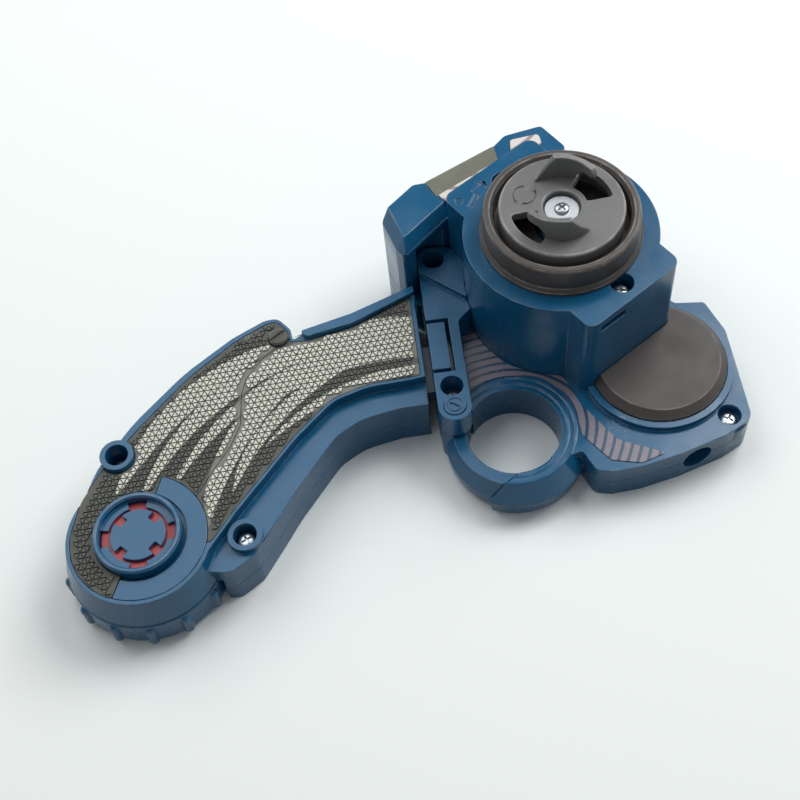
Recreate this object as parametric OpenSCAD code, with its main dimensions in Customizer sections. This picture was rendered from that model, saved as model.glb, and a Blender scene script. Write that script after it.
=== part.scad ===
// Hand-held launcher for spinning tops, lying on its back with the launching claws upward.
// Origin: the claw axis on the underside. +Z runs up along the claw axis, +X to the head's
// right side and -X out along the grip.

/* [Tower and claw] */
// Radius of the round tower wall
tower_r = 26.5; // [26:0.1:28]
// Height of the tower plate above the underside
tower_top = 44; // [43:0.5:47]
// Width of the straight body that crosses the tower
lug_w = 32.6; // [31:0.1:34]
// Reach of that body past the claw axis on the slot side
lug_front = 29; // [28.5:0.1:30.5]
// Reach of that body past the claw axis on the window side
lug_back = 30.3; // [30:0.1:31.5]
// Turn of that body from the X axis, in degrees
lug_turn = 33; // [31:0.5:35]
// Corner radius of the lugs
lug_corner_r = 3; // [2:0.1:4]
// Wall of the tower
tower_wall = 2; // [1.6:0.1:2.4]
// Outer radius of the collar round the claw disc
collar_r = 21; // [20.6:0.1:21.6]
// Wall of the collar
collar_wall = 2.7; // [2.2:0.1:3]
// Height of the collar above the tower plate
collar_h = 9; // [8:0.5:10]
// Radius of the claw disc
disc_r = 16.8; // [16:0.1:17.2]
// Rise of the claw disc above the collar
disc_rise = 2.4; // [1.5:0.1:3]
// Thickness of the claw disc's plate
disc_t = 2.6; // [2.2:0.1:3]
// Depth of the claw disc's skirt
disc_skirt_h = 6.5; // [5.5:0.1:6.8]
// Outer radius of the claw prongs
prong_r = 11.6; // [10.6:0.1:12.4]
// Thickness of the claw prongs
prong_t = 1.8; // [1.4:0.1:2.2]
// Height of the claw prongs over the disc
prong_h = 7.4; // [6:0.1:8.5]
// Height of the opening under each prong's hook
hook_gap = 3.6; // [3:0.1:4]
// Radius of the round well in the middle of the disc
disc_well_r = 5; // [4.8:0.1:5.4]
// Radius of the spindle that carries the claw disc
spindle_r = 3; // [2.6:0.1:3.3]
// Radius of the screws' shanks
screw_r = 1.25; // [1.1:0.05:1.4]
// Radius of the screws' heads
screw_head_r = 2.4; // [2.2:0.05:2.8]
// Height of the screws' heads
screw_head_h = 1.5; // [1.2:0.1:1.8]
// Radius of the washer under the claw screw
washer_r = 4.5; // [4:0.1:4.6]
// Thickness of that washer
washer_t = 0.8; // [0.6:0.1:1]
// Radius of the screw wells
well_r = 3.15; // [3:0.05:3.4]
// Distance of the tower's screw wells from the claw axis
tower_screw_reach = 23.4; // [23.1:0.1:23.6]
// Width of the slot that the toothed strip runs through
strip_slot_w = 8.5; // [8:0.1:9]
// Height of that slot
strip_slot_h = 2.2; // [2:0.1:2.6]
// Tip radius of the pinion that the toothed strip turns
pinion_r = 5; // [4.8:0.1:5.2]
// Teeth of the pinion
pinion_teeth = 10; // [9:1:11]

/* [Head] */
// Reach of the head's outline, from the bracket's foot to the far corner
head_span = 100; // [98:0.5:102]
// Height of the head's deck above the underside
deck_z = 13; // [12.6:0.1:13.4]
// Height of the line where the lower and upper shells part
part_z = 7; // [6.6:0.1:7.2]
// Wall of the shells
shell_wall = 1.8; // [1.5:0.1:2.2]
// Height of the chamfer under the ring and the gate
under_chamfer = 1.4; // [1:0.1:1.8]
// Height of the side pod
pod_top = 38; // [37:0.5:38.5]
// Radius of the round cover's base
cover_r = 18.9; // [18.4:0.1:19.2]
// Height of the round cover above the deck
cover_h = 4.6; // [4:0.1:5]
// Bevel round the cover's top
cover_bevel = 2.1; // [1.6:0.1:2.4]
// Width of the rim round the cover
cover_rim_w = 1.9; // [1.6:0.1:2.1]
// Height of that rim above the deck
cover_rim_h = 1.9; // [1.5:0.1:2.2]
// Radius of the finger ring's hole
ring_hole_r = 12.9; // [12.4:0.1:13.2]
// Outer radius of the fixed part of the ring
ring_r = 20.4; // [20:0.1:20.8]
// Outer radius of the swinging gate
gate_r = 18.9; // [18.4:0.1:19.2]
// Outer radius of the gate's flat top
gate_flat_r = 16.6; // [16:0.1:17]
// Radius of the gate's pivot pin
pivot_r = 1.6; // [1.4:0.1:1.8]
// Radius of the pivot pin's slotted head
pivot_head_r = 3; // [2.8:0.1:3]
// Radius of the gate's eye
gate_eye_r = 4.2; // [4:0.1:4.3]
// Radius of the hole for a strap in the head's side
strap_hole_r = 4.2; // [3.8:0.1:4.4]

/* [Bracket and latch] */
// Width of the bracket across X
bracket_w = 9; // [8.8:0.1:9.4]
// Height of the bracket's face above the underside
bracket_top = 22; // [21.5:0.1:22.5]
// Distance of the bracket's middle line from the claw axis
bracket_reach = 34.3; // [34.2:0.1:35]
// Width of the latch button
latch_w = 5.1; // [4.8:0.1:5.3]
// Length of the latch button
latch_len = 15.4; // [14.8:0.1:16]
// Width of the groove round the latch button
latch_groove = 1.1; // [0.9:0.1:1.3]
// Travel of the latch button
latch_travel = 1.5; // [1:0.1:1.8]

/* [Grip] */
// Length of the grip that its outline follows
grip_len = 100; // [98:0.5:101]
// Gap between the bracket and the grip
grip_gap = 2.2; // [2:0.1:2.6]
// Height of the finger side of the grip
grip_side_z = 16.5; // [16:0.1:17]
// Height of the textured pads
pad_z = 20; // [19.6:0.1:20.4]
// Thickness of the textured pads
pad_t = 1.6; // [1.3:0.1:1.9]
// Height of the line where the grip's shells part
grip_part_z = 7.5; // [7.2:0.1:7.8]
// Outer radius of the ribbed dial over its ribs
dial_r = 22.8; // [22.4:0.1:23]
// Depth of the dial's ribs
rib_h = 1.2; // [0.9:0.1:1.4]
// Number of ribs on the dial
rib_count = 14; // [12:1:16]
// Height of the dial's upper edge
dial_top = 10.6; // [10.2:0.1:10.9]
// Radius of the dial's shaft
dial_shaft_r = 4; // [3.6:0.1:4.4]
// Outer radius of the raised bezel in the dial's middle
bezel_r = 11.7; // [11.4:0.1:12]
// Wall of that bezel
bezel_wall = 1.6; // [1.4:0.1:1.8]
// Rise of that bezel over the pads
bezel_rise = 2.9; // [2.5:0.1:3.2]
// Radius of the blue hub in the bezel
hub_r = 7.3; // [7:0.1:7.5]
// Outer radius of the arc plate round the bezel
arc_r = 18; // [17.6:0.1:18.2]
// Width of the arc plate
arc_w = 5.4; // [5:0.1:5.6]
// Outer radius of the grip's screw bosses
boss_r = 4.6; // [4.4:0.1:4.8]
// Rise of the grip's screw bosses over the pads
boss_rise = 1.8; // [1.4:0.1:2.2]
// Thickness of the printed foils
foil_t = 0.3; // [0.25:0.05:0.4]

/* [Fits] */
// Radial clearance of a turning shaft
run_fit = 0.05; // [0.03:0.01:0.08]
// Gap between pieces that are fixed together
seat_gap = 0.1; // [0.06:0.01:0.15]
// Gap between pieces that move past each other
swing_gap = 0.35; // [0.3:0.05:0.45]

/* [Hidden] */

// Overrun of every cut past the face that it opens
over = 0.5;
// Smoothness of round shapes
$fn = 64;
// Turn of each step round a rounded corner, and the turn below which a corner stays sharp
corner_step_a = 9;
flat_corner_a = 5;
// Part of an edge that the rounding at each of its ends may use up
corner_limit_share = 0.48;

// Colours as moulded
blue = [0.10, 0.32, 0.52];
dark_grey = [0.34, 0.32, 0.31];
mid_grey = [0.50, 0.50, 0.49];
olive_grey = [0.44, 0.44, 0.41];
silver = [0.78, 0.78, 0.76];
red = [0.66, 0.18, 0.22];

// Plan geometry: outlines are lists of corners [x, y, rounding radius], counter-clockwise
function across(a, b) = norm([b[0] - a[0], b[1] - a[1]]);
function toward(a, b) = [b[0] - a[0], b[1] - a[1]] / max(across(a, b), over / grip_len);
function cross2(u, v) = u[0] * v[1] - u[1] * v[0];
function corner_arc(a, p, b) =
    let (u = toward(p, a), v = toward(p, b),
        half = acos(max(-1, min(1, u * v))) / 2,
        r = min(p[2], corner_limit_share * min(across(p, a), across(p, b)) * tan(half)),
        middle = (u + v) / max(norm(u + v), over / grip_len),
        centre = [p[0], p[1]] + middle * r / sin(half),
        start = [p[0], p[1]] + u * r / tan(half) - centre,
        turn = sign(cross2(u, v)) * (2 * half - 180),
        steps = ceil(abs(turn) / corner_step_a))
    abs(turn) < flat_corner_a ? [[p[0], p[1]]] : [for (i = [0 : steps])
        let (s = turn * i / steps)
        centre + [start[0] * cos(s) - start[1] * sin(s), start[0] * sin(s) + start[1] * cos(s)]];
function rounded(c) = let (n = len(c))
    [for (i = [0 : n - 1]) each corner_arc(c[(i + n - 1) % n], c[i], c[(i + 1) % n])];
function inset(c, d) = let (n = len(c))
    [for (i = [0 : n - 1])
        let (a = c[(i + n - 1) % n], p = c[i], b = c[(i + 1) % n],
            u = toward(a, p), v = toward(p, b),
            shift = ([-u[1], u[0]] + [-v[1], v[0]]) / (1 + u * v),
            bend = sign(cross2(u, v)))
        [p[0] + shift[0] * d, p[1] + shift[1] * d, max(p[2] - bend * d, over)]];
function on_span(shares, span) = [for (p = shares) [p[0] * span, p[1] * span, p[2] * span]];
function moved(c, d) = [for (p = c) [p[0] + d[0], p[1] + d[1], p[2]]];
function arc_corners(centre, r, a0, a1, steps) =
    [for (i = [0 : steps]) let (a = a0 + (a1 - a0) * i / steps)
        [centre[0] + r * cos(a), centre[1] + r * sin(a), r / 2]];

// A straight-sided block on an outline, between two heights
module slab(c, z0, z1) {
    translate([0, 0, z0]) linear_extrude(z1 - z0) polygon(rounded(c));
}

// A sloping cut along the edge from p to q of an outline, of the given width and depth
module edge_cut(p, q, z, w, h) {
    run = across(p, q) + 2 * w;
    translate([p[0], p[1], z]) rotate(atan2(q[1] - p[1], q[0] - p[0])) translate([-w, 0, 0])
        rotate([90, 0, 90]) linear_extrude(run)
            polygon([[-over, -h], [0, -h], [w, 0], [w, over], [-over, over]]);
}

module rod(p, r, z0, z1) {
    translate([p[0], p[1], z0]) cylinder(r = r, h = z1 - z0);
}

module tube(p, r_out, r_in, z0, z1) {
    difference() {
        rod(p, r_out, z0, z1);
        rod(p, r_in, z0 - over, z1 + over);
    }
}

// A screw with a cross-recessed pan head, its head's underside at height z
module screw(p, z, length) {
    recess_w = screw_head_r / 3;
    difference() {
        union() {
            rod(p, screw_head_r, z, z + screw_head_h);
            rod(p, screw_r, z - length, z + over);
        }
        for (a = [45, 135])
            translate([p[0], p[1], z + screw_head_h]) rotate(a)
                cube([screw_head_r * 4 / 3, recess_w, screw_head_h], center = true);
    }
}

// Tower and claw places
function lug_point(u, v) = [u * cos(lug_turn) - v * sin(lug_turn),
    u * sin(lug_turn) + v * cos(lug_turn)];
lug_half = lug_w / 2;
ceiling_z = tower_top - tower_wall;
collar_top = tower_top + collar_h;
collar_in_r = collar_r - collar_wall;
collar_foot = 1;
collar_floor = 2;
disc_top = collar_top + disc_rise;
disc_under = disc_top - disc_t;
disc_edge = 0.8;
hub_floor_t = 1.8;
hub_floor = disc_under - washer_t;
hub_seat = hub_floor - hub_floor_t;
hub_wall = 1.4;
spindle_flange_r = disc_well_r + hub_wall;
spindle_flange_h = 1.2;
spindle_foot = deck_z + swing_gap;
claw_angles = [0, 180];
claw_screw_len = 8;
window_r_in = spindle_flange_r + 1;
window_r_out = disc_r - collar_wall - disc_edge / 2;
window_start_a = 15;
window_end_a = 60;
hook_a = 42;
ramp_a = 118;
ramp_run = prong_h / 2;
turn_mark_a = 151;
turn_mark_reach = (disc_well_r + disc_r) / 2 - disc_edge / 2;
turn_mark_r = 3;
mark_line = 0.45;
mark_depth = 0.3;
slot_drop = 4.9;
slot_z = tower_top - slot_drop;
tooth_reach = 1.2;
slot_u = tooth_reach - pinion_r - strip_slot_w / 2;
guide_t = 1.2;
guide_len = tower_r * 4 / 3;
bush_wall = 2;
bush_r = spindle_r + bush_wall;
bush_t = 3;
post_h = 5;
post_top = deck_z + post_h;
pinion_h = 3;
pinion_tooth_h = 1.5;
pinion_z = ceiling_z - swing_gap - pinion_h;
cup_r = 8.6;
cup_wall = 1.2;
cup_h = 5;
cup_floor_t = 1;
cup_teeth = 12;
cup_top = pinion_z - 2 * swing_gap;
cup_floor = cup_top - cup_h;
pawl_hub_r = spindle_r + bush_wall * 3 / 4;
pawl_t = 1;
tower_screw_ends = [lug_point(0, -tower_screw_reach), lug_point(0, tower_screw_reach)];
tower_screw_drop = 9;
tower_screw_seat = tower_top - tower_screw_drop;
tower_screw_len = 10;
column_wall = 1.7;
column_floor = 2;
lug_column_r = well_r + column_wall;
tower_post_r = well_r + seat_gap;
post_solid = 8;
// Signs in the tower plate, as shares of the lug's width: place, size and turn of each bar
mark_shares = [
    [-0.40, 0.66, 0.17, 0.014, 24], [-0.40, 0.70, 0.17, 0.014, 24],
    [-0.27, 0.80, 0.14, 0.016, 8], [-0.14, 0.82, 0.06, 0.016, 128],
    [-0.14, 0.82, 0.06, 0.016, -112]];
mark_ring_share = [-0.42, 0.80];
mark_ring_r = 1.2;

// Head places, as shares of the head's span measured from the claw axis
head_shares = [
    [-0.387, -0.335, 0.010], [-0.295, -0.335, 0.006], [-0.285, -0.39, 0.006],
    [-0.090, -0.527, 0.010], [-0.018, -0.508, 0.010], [0.008, -0.572, 0.025],
    [0.055, -0.583, 0.040], [0.135, -0.578, 0.060], [0.245, -0.555, 0.060],
    [0.375, -0.515, 0.040], [0.450, -0.475, 0.040], [0.447, -0.330, 0.050],
    [0.445, -0.185, 0.020], [0.408, -0.080, 0.014], [0.320, -0.070, 0.020],
    [0.285, 0.040, 0.080], [0.215, 0.180, 0.100], [0.105, 0.280, 0.060],
    [0.074, 0.345, 0.020], [0.018, 0.434, 0.015], [-0.092, 0.414, 0.030],
    [-0.128, 0.379, 0.020], [-0.339, 0.277, 0.010], [-0.374, 0.275, 0.020],
    [-0.474, 0.187, 0.012], [-0.445, 0.085, 0.020], [-0.420, 0.055, 0.015],
    [-0.387, 0.030, 0.010]];
pod_shares = [
    [-0.474, 0.187, 0.012], [-0.445, 0.085, 0.015], [-0.424, 0.053, 0.010],
    [-0.275, 0.182, 0.004], [-0.060, 0.290, 0.004], [0.030, 0.235, 0.004],
    [0.052, 0.284, 0.010], [0.074, 0.345, 0.020], [0.018, 0.434, 0.015],
    [-0.092, 0.414, 0.030], [-0.128, 0.379, 0.020], [-0.339, 0.277, 0.010],
    [-0.374, 0.275, 0.020]];
window_shares = [
    [-0.335, 0.268, 0.004], [-0.316, 0.226, 0.004], [-0.140, 0.319, 0.004],
    [-0.131, 0.366, 0.004]];
label_shares = [
    [-0.296, 0.206, 0.003], [-0.284, 0.196, 0.003], [-0.050, 0.347, 0.006],
    [0.010, 0.360, 0.012], [0.006, 0.402, 0.012], [-0.078, 0.392, 0.010],
    [-0.083, 0.345, 0.006]];
foil_shares = [
    [-0.290, -0.290, 0.004], [-0.270, -0.263, 0.120], [-0.110, -0.238, 0.150],
    [-0.017, -0.340, 0.150], [-0.010, -0.462, 0.010], [0.052, -0.548, 0.010],
    [0.130, -0.568, 0.020], [0.200, -0.547, 0.004], [0.080, -0.490, 0.080],
    [0.000, -0.360, 0.100], [-0.030, -0.268, 0.040], [-0.180, -0.210, 0.100],
    [-0.255, -0.078, 0.010], [-0.290, -0.075, 0.004]];
ring_share = [-0.189, -0.416];
cover_share = [0.232, -0.274];
corner_screw_share = [0.392, -0.456];
head_line = on_span(head_shares, head_span);
pod_line = on_span(pod_shares, head_span);
ring_c = ring_share * head_span;
cover_c = cover_share * head_span;
corner_screw_c = corner_screw_share * head_span;
window_line = on_span(window_shares, head_span);
label_line = on_span(label_shares, head_span);
foil_line = on_span(foil_shares, head_span);
lug_line = [for (p = [[-lug_half, -lug_front], [lug_half, -lug_front],
        [lug_half, lug_back], [-lug_half, lug_back]])
    [each lug_point(p[0], p[1]), lug_corner_r]];
cover_rim_r = cover_r + seat_gap + cover_rim_w;
deck_under = deck_z - shell_wall;
edge_bevel = 0.8;
head_post_r = screw_r + shell_wall;
corner_screw_drop = 3.6;
corner_screw_seat = deck_z - corner_screw_drop;
head_screw_len = 6;
strap_hole_share = [0.292, -0.541];
strap_hole_c = strap_hole_share * head_span;
strap_turn = 17;
strap_depth = 4.5;
strap_out = 3;
pod_bevel_w = 2.6;
pod_bevel_h = 4;
pod_hollow_top = pod_top - pod_bevel_h;
pocket_r = 5.5;
pocket_roof = 1;
window_t = 1.2;
// The ring round the finger hole, with two fine ridges on its top
ring_slope_w = 3.4;
ring_top_r = ring_r - ring_slope_w;
ring_band_h = 0.4;
ridge_h = 0.3;
ridge_w = 0.7;
ring_upper_z = part_z + seat_gap;
lower_ring_profile = [
    [ring_hole_r - over, 0], [ring_r - ring_slope_w / 2, 0],
    [ring_r - ring_slope_w / 4, under_chamfer], [ring_r, part_z], [ring_hole_r - over, part_z]];
upper_ring_profile = [
    [ring_hole_r - over, ring_upper_z], [ring_r, ring_upper_z],
    [ring_r, ring_upper_z + ring_band_h], [ring_top_r, deck_z],
    [ring_top_r - ridge_w / 2, deck_z + ridge_h], [ring_top_r - ridge_w, deck_z],
    [ring_hole_r + 3 * ridge_w, deck_z], [ring_hole_r + 5 * ridge_w / 2, deck_z + ridge_h],
    [ring_hole_r + 2 * ridge_w, deck_z], [ring_hole_r + ridge_w, deck_z],
    [ring_hole_r - over, deck_z - ridge_w - over]];
ring_start_a = 240;
ring_end_a = 500;
// The gate: its arc, from the pivot round to the seam that is struck about the pivot
gate_start_a = 164;
gate_end_a = 268;
gate_drop = 0.6;
gate_top = deck_z - gate_drop;
gate_floor = gate_drop;
ear_t = 2.6;
seam_reach_share = 1.77;
seam_r = seam_reach_share * ring_hole_r;
gate_spring_r = pivot_head_r;
gate_spring_h = 5;

// Bracket places, as shares of the head's span along its middle line
bracket_left = -bracket_reach - bracket_w / 2;
bracket_right = bracket_left + bracket_w;
top_hole_y_share = 0.112;
foot_hole_y_share = -0.306;
pivot_y_share = -0.370;
bracket_mid = bracket_left + bracket_w / 2;
bracket_end_r = bracket_w / 2 - seat_gap / 2;
bracket_edge = 0.5;
bracket_floor = 1.8;
pivot_c = [bracket_mid, pivot_y_share * head_span];
top_hole_c = [bracket_mid, top_hole_y_share * head_span];
foot_hole_c = [bracket_mid, foot_hole_y_share * head_span];
bracket_end_y = pivot_c[1] - bracket_w / 2;
bracket_head_y = top_hole_c[1] + bracket_w / 2;
flare_y_share = -0.095;
flare_shares = [
    [-0.257, -0.060, 0.008], [-0.250, 0.065, 0.005], [-0.255, 0.125, 0.010],
    [-0.307, 0.153, 0.030]];
raised_y_share = 0.075;
raised_shares = [
    [-0.262, -0.035, 0.006], [-0.250, 0.065, 0.005], [-0.255, 0.125, 0.010],
    [-0.307, 0.153, 0.030]];
bracket_line = concat([[bracket_left, bracket_end_y, bracket_end_r],
    [bracket_right, bracket_end_y, bracket_end_r],
    [bracket_right, flare_y_share * head_span, lug_corner_r]],
    on_span(flare_shares, head_span), [[bracket_left, bracket_head_y, bracket_end_r]]);
raised_line = concat([[bracket_left, raised_y_share * head_span, bracket_edge]],
    on_span(raised_shares, head_span), [[bracket_left, bracket_head_y, bracket_end_r]]);
pad_rise = 1;
top_screw_drop = 4;
top_screw_seat = deck_z - top_screw_drop;
foot_screw_seat = deck_z + bracket_floor;
bracket_screw_len = 8;
pivot_head_h = 1.6;
pivot_head_rise = 0.4;
slot_slant = 35;
ear_arm = (head_shares[0][1] - pivot_y_share) * head_span + shell_wall;
latch_y_share = -0.171;
latch_y = latch_y_share * head_span;
latch_floor_z = deck_z + bracket_floor;
latch_under = latch_floor_z + latch_travel;
latch_stem_x = bracket_left + latch_w / 2;
latch_stem_w = 1.6;
latch_stem_len = 5;
latch_foot_t = 1.2;
latch_nose_w = 1.4;
latch_nose_h = 1.2;
latch_spring_r = 1.7;
latch_spring_seat = 1.5;
latch_spring_reach = latch_stem_len / 2 + swing_gap * 2 + latch_spring_r;
tongue_t = 3;
tongue_top = deck_under - 2 * swing_gap;
tongue_under = tongue_top - tongue_t;
tongue_reach = latch_w + swing_gap;
latch_foot_len = latch_stem_len + 2 * swing_gap + 2 * (latch_nose_w + 2 * swing_gap);

// Grip places, as shares of the grip's length measured from its root
grip_root = [bracket_left - grip_gap, 0];
function grip_line(shares) = moved(on_span(shares, grip_len), grip_root);
dial_share = [-0.796, -0.628];
dial_c = grip_root + dial_share * grip_len;
core_r = dial_r - rib_h;
dial_room_r = dial_r + swing_gap;
cap_z = dial_top + swing_gap;
cap_inset = 0.2;
cap_slope_w = 2.2;
cap_r = core_r - cap_inset;
cap_top_r = cap_r - cap_slope_w;
// Upper edge of the pads, from the root out to the dial
pad_upper_shares = [
    [-0.183, -0.058, 0.10], [-0.316, -0.084, 0.10], [-0.361, -0.082, 0.006]];
pad_knob_shares = [
    [-0.366, -0.046, 0.030], [-0.395, -0.006, 0.030], [-0.425, -0.010, 0.06],
    [-0.518, -0.057, 0.20], [-0.653, -0.158, 0.30], [-0.787, -0.293, 0.30],
    [-0.895, -0.418, 0.20], [-0.951, -0.508, 0.10]];
// Lower edge of the pads, from the dial back to the root
pad_lower_shares = [
    [-0.612, -0.677, 0.06], [-0.545, -0.589, 0.20], [-0.370, -0.387, 0.20],
    [-0.262, -0.287, 0.12], [-0.160, -0.255, 0.20], [-0.040, -0.250, 0.10],
    [-0.012, -0.246, 0.004]];
pad_right_top_share = [-0.012, 0.022, 0.004];
// Outer edge of the grip's shells
grip_upper_shares = [
    [-0.183, -0.025, 0.10], [-0.330, -0.062, 0.006], [-0.355, -0.078, 0.006],
    [-0.358, -0.040, 0.030], [-0.392, 0.004, 0.030], [-0.430, 0.002, 0.06],
    [-0.525, -0.045, 0.20], [-0.663, -0.143, 0.30], [-0.803, -0.280, 0.30],
    [-0.905, -0.410, 0.20]];
grip_lower_shares = [
    [-0.586, -0.745, 0.020], [-0.560, -0.745, 0.030], [-0.500, -0.705, 0.050],
    [-0.430, -0.605, 0.15], [-0.386, -0.540, 0.20], [-0.262, -0.385, 0.15],
    [-0.188, -0.343, 0.15], [-0.080, -0.323, 0.10], [0.000, -0.322, 0.004]];
grip_right_top_share = [0.000, 0.044, 0.004];
// The seam between the two pads, from the stud to the arc plate
seam_shares = [
    [-0.392, -0.085], [-0.452, -0.135], [-0.492, -0.185], [-0.508, -0.235],
    [-0.515, -0.330], [-0.545, -0.395], [-0.600, -0.470], [-0.660, -0.560]];
stud_share = [-0.394, -0.065];
// Screw bosses, set round the dial a little past the room that it turns in
left_boss_out = 1.65;
left_boss_a = 102.6;
right_boss_out = 4.38;
right_boss_a = -5.6;
function round_dial(out, a) = dial_c + (dial_room_r + out) * [cos(a), sin(a)];
left_boss_c = round_dial(left_boss_out, left_boss_a);
right_boss_c = round_dial(right_boss_out, right_boss_a);
stud_c = grip_root + stud_share * grip_len;
pad_arc_a = 247;
rim_w = 0.8;
pad_arc_r = cap_top_r - rim_w;
dial_in_r = arc_r - arc_w / 2;
function dial_corner(a) = [each dial_c + dial_in_r * [cos(a), sin(a)], rim_w];
grip_corners = concat(grip_line([grip_right_top_share]), grip_line(grip_upper_shares),
    arc_corners(dial_c, pad_arc_r, 165, 325, 8), grip_line(grip_lower_shares));
pad_corners = concat(grip_line([pad_right_top_share]), grip_line(pad_upper_shares),
    grip_line(pad_knob_shares), arc_corners(dial_c, pad_arc_r, 175, pad_arc_a, 4),
    [dial_corner(pad_arc_a + 5), dial_corner(pad_arc_a + 60), dial_corner(pad_arc_a + 100)],
    grip_line(pad_lower_shares));
pad_outer = inset(pad_corners, -rim_w);
first_lower = len(pad_corners) - len(pad_lower_shares);
plateau_corners = concat(grip_line([grip_right_top_share]), grip_line(grip_upper_shares),
    arc_corners(dial_c, pad_arc_r, 165, 325, 8),
    [for (i = [first_lower + 1 : len(pad_corners) - 2]) pad_outer[i]],
    [[grip_root[0], pad_outer[len(pad_outer) - 1][1], rim_w / 2]]);
rail_corners = concat(grip_line([grip_right_top_share, grip_upper_shares[0],
    grip_upper_shares[1]]), grip_line([pad_upper_shares[1], pad_upper_shares[0]]),
    [[grip_root[0], grip_line([pad_right_top_share])[0][1], rim_w / 2]]);
pad_under = pad_z - pad_t;
plate_under = pad_under - shell_wall;
side_hollow_top = grip_side_z - shell_wall;
side_boss_rise = 2;
boss_lift = 4;
boss_seat = grip_part_z + boss_lift;
grip_screw_len = 8;
stud_r = 2.8;
stud_rise = 1.5;
// The seam, and the far corners that close the half of the plan on either side of it
function seam_edge(shift) = [for (p = seam_shares)
    grip_root + p * grip_len + [shift, 0]];
far_shares = [[-0.345, -0.060], [-0.300, 0.300]];
palm_far_shares = [[-1.2, -1.2], [-1.2, 0.3]];
thumb_far_shares = [[-0.64, -1.2], [0.2, -1.2], [0.2, 0.3]];
function far_corners(shares) = [for (p = shares) grip_root + p * grip_len];

// Dial places
arc_a0 = -113;
arc_a1 = 69;
arc_gap_a = 0.6;
dial_foot = 0.8;
rib_a = 180 / rib_count;
dial_hub_r = dial_shaft_r + 2 * shell_wall;
indicator_h = 1.1;
indicator_z = pad_under + swing_gap;
indicator_top = indicator_z + indicator_h;
hub_h = 1.3;
hub_top = indicator_top + hub_h;
hub_gap = 0.7;
hub_step = 0.3;
hub_notch = 2.2;
hub_notch_w = 2.6;
hub_stem_r = dial_shaft_r - shell_wall;
hub_stem_h = 2;
lug_gap_a = 15;
dial_screw_well = 3;
dial_screw_len = 15;
click_r = 1;
click_lift = 0.5;
click_reach = dial_hub_r - shell_wall;
click_spring_h = 4;
click_c = dial_c + [0, click_reach];

// The tower's plan, grown by a gap, between two heights
module tower_block(z0, z1, grow) {
    rod([0, 0], tower_r + grow, z0, z1);
    slab(inset(lug_line, -grow), z0, z1);
}

// A part turn about a centre, of the profile given as [radius, height] points
module turned(centre, profile) {
    translate([centre[0], centre[1], 0]) rotate_extrude() polygon(profile);
}
module arc_body(centre, a0, a1, profile) {
    far = 2 * max([for (p = profile) p[0]]);
    low = min([for (p = profile) p[1]]) - over;
    high = max([for (p = profile) p[1]]) + over;
    rest = a0 + 360 - a1;
    steps = ceil(rest / 60);
    difference() {
        turned(centre, profile);
        translate([centre[0], centre[1], low]) linear_extrude(high - low)
            polygon(concat([[0, 0]], [for (i = [0 : steps]) let (a = a1 + rest * i / steps)
                [far * cos(a), far * sin(a)]]));
    }
}

// A part turn about a centre, of the band between two radii and two heights
module arc_band(centre, a0, a1, r_in, r_out, z0, z1) {
    arc_body(centre, a0, a1, [[r_in, z0], [r_out, z0], [r_out, z1], [r_in, z1]]);
}

// A round rod into the head's side wall, where a strap goes
module strap_rod(r, depth) {
    translate([strap_hole_c[0], strap_hole_c[1], part_z]) rotate([-90, 0, strap_turn])
        translate([0, 0, -strap_out]) cylinder(r = r, h = depth + strap_out);
}

// The wall round the strap hole, between two heights
module strap_wall(z0, z1) {
    intersection() {
        strap_rod(strap_hole_r + shell_wall, strap_depth + shell_wall);
        slab(inset(head_line, shell_wall / 2), z0, z1);
    }
}

// The fixed part of the finger ring, whose end follows the gate's swing
module fixed_ring(profile) {
    difference() {
        arc_body(ring_c, ring_start_a, ring_end_a, profile);
        intersection() {
            rod(pivot_c, seam_r + swing_gap, -over, deck_z + over);
            translate([ring_c[0] - 2 * ring_r, ring_c[1] - 2 * ring_r, -2 * over])
                cube([4 * ring_r, 2 * ring_r, deck_z + 4 * over]);
        }
    }
}

// The latch stem's way through a plate, between two heights
module stem_slot(z0, z1) {
    translate([latch_stem_x - swing_gap, latch_y - latch_stem_len / 2 - swing_gap, z0])
        cube([latch_stem_w + 2 * swing_gap, latch_stem_len + 2 * swing_gap, z1 - z0]);
}

module head_lower_shell() color(blue) {
    posts = [corner_screw_c, top_hole_c, foot_hole_c];
    difference() {
        union() {
            difference() {
                slab(head_line, 0, part_z);
                slab(inset(head_line, shell_wall), shell_wall, part_z + over);
            }
            for (p = posts) rod(p, head_post_r, shell_wall - seat_gap, part_z);
            rod(pivot_c, gate_eye_r, 0, ear_t);
            translate([pivot_c[0] - gate_eye_r, pivot_c[1], 0])
                cube([2 * gate_eye_r, ear_arm, ear_t]);
            strap_wall(shell_wall - seat_gap, part_z);
            fixed_ring(lower_ring_profile);
        }
        rod(ring_c, ring_hole_r, -over, part_z + over);
        strap_rod(strap_hole_r, strap_depth);
        for (p = posts) rod(p, screw_r + seat_gap, shell_wall, part_z + over);
        rod(pivot_c, pivot_r + run_fit, -over, ear_t + over);
        rod(pivot_c, gate_eye_r + swing_gap, ear_t, part_z + over);
    }
}

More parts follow.
